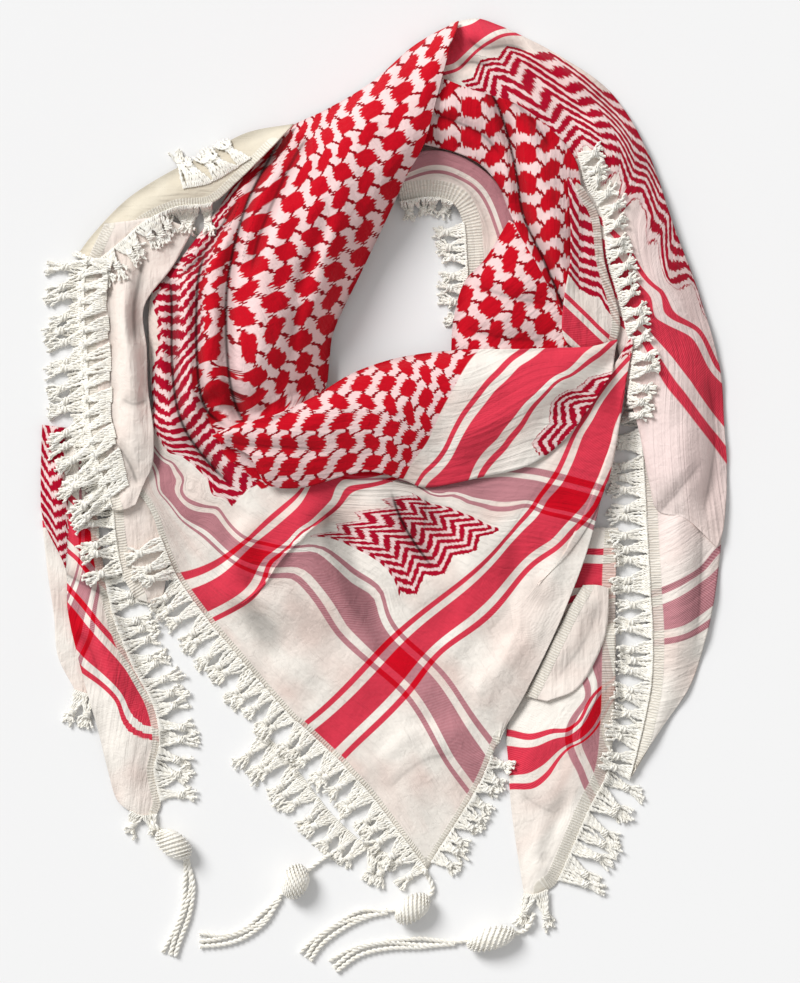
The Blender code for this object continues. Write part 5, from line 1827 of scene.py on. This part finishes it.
SHEETS = (
    ClothSheet(
        "left_tail_back", LEFT_TAIL_BACK,
        ruled(60, (-225, -60), 0), ruled(60, (-225, -60), 90), (0.026, 0.134), 0.0030),
    ClothSheet(
        "left_tail", LEFT_TAIL, LEFT_TAIL_P, LEFT_TAIL_Q,
        (0.050, 0.286), 0.0108, hems={Edge.RIGHT: (6.0, 0)}, creases=(
            Crease(((-290, -15), (-245, -38), (-215, -56), (-190, -70), (-150, -96),
                    (-100, -125)), 3.5, -3.0, hides_q=67),
            Crease(((-235, 190), (-226, 110), (-222, 45), (-220, 0), (-221, -45),
                    (-226, -75), (-232, -130), (-240, -200)), 3.0, -2.5, hides_q=250),
            Crease(((-208, -20), (-205, -60), (-196, -100), (-180, -150)), 7, 2.0),
            Crease(((-214, -90), (-202, -110), (-196, -140)), 4, -2.0))),
    ClothSheet(
        "right_tail", RIGHT_TAIL, RIGHT_TAIL_P, RIGHT_TAIL_Q,
        (0.080, 0.270), 0.0146, hems={Edge.RIGHT: (10.0, 0)}, creases=(
            Crease(((50, -84), (110, -84), (150, -84), (210, -84)), 3.5, -1.5,
                   hides_q=90),
            Crease(((130, -199), (117, -238), (112, -258)), 6, -3.0),
            Crease(((150, -120), (140, -160), (128, -200)), 6, 2.0),
            Crease(((96, -205), (110, -215), (128, -222)), 4, -1.5))),
    ClothSheet(
        "right_under_fold", RIGHT_UNDER_FOLD,
        ruled(60, (130, -100), 0), ruled(60, (130, -100), 90), (0.034, 0.100), 0.0028,
        cloth=Cloth.PLAIN, hems={Edge.LEFT: (8.0, 0)}, creases=(
            Crease(((152, -70), (140, -100), (118, -130)), 5, -2.0),)),
    ClothSheet(
        "right_wrap_lower", RIGHT_WRAP_LOWER,
        WRAP_LOWER_P, WRAP_LOWER_Q, (0.058, 0.262), 0.0112,
        hems={Edge.LEFT: (9.0, 0)}, creases=(
            Crease(((224, 60), (223, 0), (222, -60), (218, -110)), 4, -2.5),
            Crease(((205, 40), (206, -40), (202, -120)), 8, 2.0))),
    ClothSheet(
        "right_outer_wrap", RIGHT_OUTER_WRAP,
        OUTER_WRAP_P, OUTER_WRAP_Q, (0.152, 0.408), 0.0280, tucks=(Edge.END,), creases=(
            Crease(((52, 300), (62, 304), (78, 300)), 4, -4.0),
            Crease(((58, 322), (70, 314), (88, 316), (104, 312)), 5, -4.0),
            Crease(((70, 312), (110, 297), (150, 262)), 7, -4.0),
            Crease(((150, 275), (185, 225), (215, 150), (232, 90)), 9, 2.0),
            Crease(((175, 130), (190, 90), (205, 50)), 8, 1.6),
            Crease(((226, 90), (232, 40), (222, -20)), 4, -2.5),
            Crease(((189, -14), (205, 5), (225, 30)), 4, -2.0))),
    ClothSheet(
        "back_neck", BACK_NECK, BACK_NECK_P,
        ruled(200, (60, 190), 90), (0.042, 0.200), 0.0055, hems={Edge.RIGHT: (13.0, 0)},
        creases=(
            Crease(((10, 222), (34, 229), (60, 215), (74, 185), (70, 150)), 3, -1.5),)),
    ClothSheet(
        "right_inner_roll", RIGHT_INNER_ROLL,
        ruled(480, (90, 130), 130), ruled(500, (90, 130), 40), (0.088, 0.116), 0.0078,
        creases=(Crease(((60, 150), (90, 140), (120, 135)), 5, -2.5),
                 Crease(((55, 120), (85, 112), (120, 110)), 5, -2.5))),
    ClothSheet(
        "right_neck_roll", RIGHT_NECK_ROLL,
        ruled(500, (107.5, 259.6), 0), ruled(492, (107.5, 259.6), 90),
        (0.066, 0.224), 0.0098, creases=(
            Crease(((40, 340), (56, 312), (72, 288), (84, 262), (92, 230), (98, 196),
                    (112, 165), (128, 127), (142, 90), (156, 55)), 4.0, -6.0,
                   hides_p=38, hides_q=14),
            Crease(((30, 268), (50, 262), (70, 252), (84, 236)), 4, -4.0),
            Crease(((60, 245), (80, 230), (92, 205)), 5, 2.5),
            Crease(((94, 262), (108, 235), (116, 200), (124, 165)), 6, 3.0),
            Crease(((84, 282), (104, 262), (118, 240)), 5, -3.0))),
    ClothSheet(
        "right_shoulder_fold", RIGHT_SHOULDER_FOLD,
        ruled(205, (142, 170), 180), SHOULDER_Q, (0.042, 0.128), 0.0038,
        hems={Edge.RIGHT: (6.0, 0)}),
    ClothSheet(
        "left_lower_fold", LEFT_LOWER_FOLD,
        ruled(60, (-170, -20), 0), ruled(60, (-170, -20), 90), (0.044, 0.116), 0.0043,
        cloth=Cloth.PLAIN, slot="cotton_plain", hems={Edge.LEFT: (8.0, 0)}),
    ClothSheet(
        "left_roll_bib", LEFT_ROLL_AND_BIB, LEFT_P, LEFT_Q, (0.380, 0.840), 0.1150,
        nodes=("left_neck_roll", "front_bib"), cell=2.8,
        hems={Edge.LEFT: (4.5, 0.5), Edge.END: (5.0, 0)}, net_along_p=True, creases=(
            Crease(((-20, 345), (-38, 315), (-55, 285), (-66, 266), (-78, 240),
                    (-95, 203), (-107, 150), (-107, 95), (-102, 62), (-80, 50),
                    (-30, 48), (40, 58), (110, 76), (180, 105), (250, 140), (320, 170),
                    (390, 200), (460, 230)), 4.0, 0.0,
                   hides_p=(-200, -200, -200, -200, -200, -200, -146, -117) + 10 * (-111,),
                   hides_q=-72),
            Crease(((-58, 275), (-75, 245), (-95, 203), (-107, 150), (-107, 95),
                    (-100, 60), (-85, 42)), 5.0, -7.0),
            Crease(((-50, 255), (-62, 235), (-84, 185), (-92, 150)), 5.0, -4.5),
            Crease(((-98, 214), (-112, 190), (-128, 168), (-142, 154)), 4.5, -5.0),
            Crease(((-150, 160), (-147, 140), (-146, 85), (-138, 50), (-118, 22),
                    (-96, 2)), 4.5, -6.5),
            Crease(((-118, 190), (-128, 150), (-128, 90), (-122, 62), (-104, 48)), 4.5,
                   -6.0),
            Crease(((-60, 215), (-82, 150), (-84, 80)), 8, 3.5),
            Crease(((-30, 210), (-58, 140), (-62, 80)), 6, -4.5),
            Crease(((-22, 230), (-40, 165), (-46, 105)), 7, 2.5),
            Crease(((-118, 80), (-104, 60), (-70, 60)), 8, -4.0),
            Crease(((5, 8), (12, -12), (22, -30), (38, -52)), 4.0, -6.0),
            Crease(((-8, 4), (0, -18), (12, -42)), 6, 3.0),
            Crease(((30, 4), (30, -12), (28, -28)), 5, -3.5),
            Crease(((-106, -64), (-88, -70), (-72, -78), (-66, -90)), 6, 4.5),
            Crease(((-100, -82), (-84, -90), (-76, -112)), 10, -3.5),
            Crease(((-37, -85), (-60, -108), (-80, -140)), 10, 3.5),
            Crease(((-92, -10), (-102, -45), (-110, -80)), 9, 6.0),
            Crease(((-58, 5), (-50, -40), (-30, -95)), 10, 6.0),
            Crease(((-38, 0), (-22, -55), (10, -120)), 9, -5.0),
            Crease(((60, -12), (62, -60), (40, -130)), 10, 3.5),
            Crease(((90, -20), (88, -70), (70, -130)), 8, -3.0),
            Crease(((-10, -190), (20, -165), (48, -160)), 6, 2.0),
            Crease(((0, -206), (26, -184), (55, -176)), 5, -1.8),
            Crease(((112, 0), (122, -30), (112, -70)), 7, 3.0),
            Crease(((60, -150), (40, -175), (0, -200)), 9, 2.5),
            Crease(((100, -90), (80, -120), (60, -140)), 9, 2.5),
            Crease(((10, 290), (-30, 235), (-62, 150)), 14, 2.0))),
    ClothSheet(
        "left_back_fold", LEFT_BACK_FOLD,
        ruled(60, (-130, 215), 90), ruled(60, (-130, 215), 0), (0.040, 0.184), 0.0050,
        cloth=Cloth.REVERSE, hems={Edge.RIGHT: (6.0, 0)}),
    ClothSheet(
        "left_outer_wrap", LEFT_OUTER_WRAP,
        ruled(60, (-185, 100), 0), ruled(60, (-185, 100), 90), (0.068, 0.196), 0.0104,
        cloth=Cloth.PLAIN, slot="cotton_plain", hems={Edge.LEFT: (8.0, 0)}, creases=(
            Crease(((-196, 185), (-191, 140), (-189, 60), (-184, 0)), 4, -3.0),
            Crease(((-178, 150), (-176, 100), (-172, 40)), 6, 2.5),
            Crease(((-166, 172), (-170, 150), (-173, 130), (-171, 100)), 5, -4.0),
            Crease(((-182, 70), (-172, 66), (-162, 70)), 4, -2.5),
            Crease(((-186, 40), (-176, 24), (-170, 8)), 4, -3.5))),
    ClothSheet(
        "front_roll", FRONT_ROLL, FRONT_ROLL_P, FRONT_ROLL_Q,
        (0.108, 0.326), 0.0216, creases=(
            Crease(((-112, 42), (-97, 38), (-70, 36), (-30, 34)), 4.5, -3.5),
            Crease(((40, 30), (85, 58), (140, 88)), 8, 2.5),
            Crease(((-40, 62), (-10, 66), (30, 60)), 8, 2.0))),
)

FRINGES = (
    Fringe("fringe_left_tail_back", ("left_tail_back", Edge.END, 0, 1), 22, 22, -1),
    Fringe("fringe_left_tail", ("left_tail", Edge.RIGHT, 0.3, 0.9), 24, 24, 1, 0.1),
    Fringe("fringe_left_tail_end", ("left_tail", Edge.END, 0, 1), 13, 13, -1),
    Fringe("fringe_right_tail", ("right_tail", Edge.RIGHT, 0.5, 0.875), 26, 30, 1, 0.1),
    Fringe("fringe_right_tail_end", ("right_tail", Edge.END, 1, 0), 26, 20, 1, 0.2),
    Fringe("fringe_right_wrap", ("right_wrap_lower", Edge.LEFT, 0, 1), 25, 22, -1),
    Fringe("fringe_back_neck", ("back_neck", Edge.RIGHT, 3 / 7, 6 / 7), 20, 16, -1),
    Fringe("fringe_back_neck_top", ("back_neck", Edge.RIGHT, 0, 2 / 7), 11, 11, -1),
    Fringe("fringe_right_shoulder", SHOULDER_LOCKS, 15, 17, 1, -0.2),
    Fringe("fringe_left_lower", ("left_lower_fold", Edge.LEFT, 0, 0.75), 28, 24, -1, 0.1),
    Fringe("fringe_front_rear",
           ((-84, -163), (-62, -188), (-38, -219), (-14, -241), (9, -251)), 28, 20, -1),
    Fringe("fringe_front_left", ("left_roll_bib", Edge.LEFT, 14 / 24, 1), 26, 22, -1),
    Fringe("fringe_front_right", ("left_roll_bib", Edge.END, 0.02, 0.4), 17, 14, -1),
    Fringe("fringe_left_back_fold", ("left_back_fold", Edge.RIGHT, 1 / 3, 1), 18, 18, 1),
    Fringe("fringe_left_back_upper", ((-92, 238), (-118, 222), (-139, 217)), 20, 26, -1, 0.3),
    Fringe("fringe_left_wrap", ("left_outer_wrap", Edge.LEFT, 0.1, 0.98), 27, 32, -1, 0.35, 2),
)

TASSELS = (
    Tassel("tassel_left", ((-161, -226), (-156, -231), (-146, -241), (-138, -252),
                           (-135, -270), (-138, -288), (-143, -304), (-148, -319)),
           (9, 14, 8)),
    Tassel("tassel_front_rear", ((-37, -248), (-50, -258), (-61, -267), (-73, -279),
                                 (-84, -294), (-99, -304), (-114, -309), (-128, -310)),
           (10, 12, 8)),
    Tassel("tassel_front", ((29, -259), (35, -274), (21, -286), (3, -288), (-14, -291),
                            (-30, -298), (-43, -308), (-53, -321)), (9, 14, 8)),
    Tassel("tassel_right", ((106, -290), (99, -302), (76, -307), (50, -310), (26, -311),
                            (4, -311), (-16, -316), (-34, -328)), (8, 18, 7)),
)

# What is laid when, from the table up.
LAYING_ORDER = (
    "left_tail_back", "fringe_left_tail_back", "left_tail", "fringe_left_tail",
    "fringe_left_tail_end", "right_tail", "fringe_right_tail", "fringe_right_tail_end",
    "right_under_fold", "right_wrap_lower", "fringe_right_wrap", "right_outer_wrap",
    "back_neck", "fringe_back_neck", "fringe_back_neck_top", "right_inner_roll",
    "right_neck_roll", "right_shoulder_fold", "fringe_right_shoulder", "left_lower_fold",
    "fringe_left_lower", "fringe_front_rear", "left_roll_bib", "fringe_front_left",
    "fringe_front_right", "left_back_fold", "left_outer_wrap", "fringe_left_back_fold",
    "fringe_left_back_upper", "fringe_left_wrap", "front_roll", "tassel_left",
    "tassel_front_rear", "tassel_front", "tassel_right",
)


@dataclass
class Scarf:
    """The whole scarf: its cloth, fringes and tassels, laid one on another."""

    ground: HeightMap = field(default_factory=HeightMap)
    made: dict[str, list[Piece]] = field(default_factory=dict)

    CORE_SINK = 0.70     # height of the hidden folds as drawn, in shares of their solid

    def build(self) -> None:
        cotton, yarn = KeffiyehCotton(), YarnCotton().material("undyed_cotton_yarn")
        cloths = {}
        for cloth in Cloth:
            for along_p in (False, True):
                name = f"cotton_{cloth.name.lower()}_{'p' if along_p else 'q'}"
                cloths[cloth, along_p] = cotton.material(name, cloth, along_p)
        sheets = {sheet.name: sheet for sheet in SHEETS}
        fringes = {fringe.name: fringe for fringe in FRINGES}
        tassels = {tassel.name: tassel for tassel in TASSELS}
        spinner = YarnTree()
        self.core(cloths[Cloth.REVERSE, False])
        for name in LAYING_ORDER:
            if name in sheets:
                self.made[name] = [sheets[name].laid(self.ground, cloths)]
            elif name in fringes:
                self.made[name] = [fringes[name].laid(sheets, self.ground, spinner, yarn)]
            else:
                self.made[name] = tassels[name].laid(self.ground, spinner, yarn)
        for sheet in SHEETS:
            fringe = [self.made[f.name][0] for f in FRINGES if f.root[0] == sheet.name]

    def core(self, material: bpy.types.Material) -> None:
        """The hidden folds under the wound part, sunk a little so that the cloth covers them.

        Args:
            material: their finish.
        """
        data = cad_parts["core_folds"].data.copy()
        data.name = "core_folds_cloth"
        for vertex in data.vertices:
            vertex.co.z *= self.CORE_SINK
        data.materials.clear()
        data.materials.append(material)
        data.shade_smooth()
        declared(placed("core_folds_cloth", data), ("core_folds",))
        LOG.info("core_folds: %d faces", len(data.polygons))


@dataclass(frozen=True)
class Studio:
    """A pale tabletop under soft light from the upper left, seen straight from above."""

    height: float = 3.0
    frame_height: float = 0.6881
    centre: tuple[float, float] = (0.01145, 0.00295)
    tabletop: str = "#F1F1F1"

    SENSOR = 36.0                # width in millimetres
    TABLE_HALF = 6.0
    WINDOW = 2.85                # strength of the key light
    WINDOW_ANGLE = 26            # how wide it is seen, in degrees
    WINDOW_TURN = (-34, -40, 0)
    SKY = 0.46

    def build(self) -> None:
        """The tabletop, the lights and the camera."""
        self.table()
        self.lights()
        data = bpy.data.cameras.new("above")
        data.sensor_fit = "AUTO"
        data.sensor_width = self.SENSOR
        data.lens = self.SENSOR * self.height / self.frame_height
        data.clip_end = 2 * self.height
        camera = placed("above", data)
        camera.location = (*self.centre, self.height)
        bpy.context.scene.camera = camera

    def table(self) -> None:
        """A plain sheet of board, seamless to every side."""
        half = self.TABLE_HALF
        data = bpy.data.meshes.new("tabletop")
        data.from_pydata([(-half, -half, 0), (half, -half, 0), (half, half, 0),
                          (-half, half, 0)], [], [(0, 1, 2, 3)])
        material = bpy.data.materials.new("matt_board")
        material.use_nodes = True
        shader = material.node_tree.nodes["Principled BSDF"]
        shader.inputs["Base Color"].default_value = linear(self.tabletop)
        shader.inputs["Roughness"].default_value = 0.8
        data.materials.append(material)
        placed("tabletop", data)

    def lights(self) -> None:
        """A wide soft key from the upper left and an even sky."""
        light = bpy.data.lights.new("window", "SUN")
        light.energy, light.angle = self.WINDOW, math.radians(self.WINDOW_ANGLE)
        placed("window", light).rotation_euler = [math.radians(a) for a in self.WINDOW_TURN]
        world = bpy.data.worlds.new("sky")
        world.use_nodes = True
        sky = world.node_tree.nodes["Background"].inputs
        sky["Color"].default_value = (1, 1, 1, 1)
        sky["Strength"].default_value = self.SKY
        bpy.context.scene.world = world


def main() -> None:
    """Builds the scarf and its studio."""
    logging.basicConfig(level=logging.INFO, format="%(name)s %(message)s")
    Scarf().build()
    Studio().build()
    bpy.context.scene.view_settings.view_transform = "Standard"


if __name__ == "__main__":
    main()
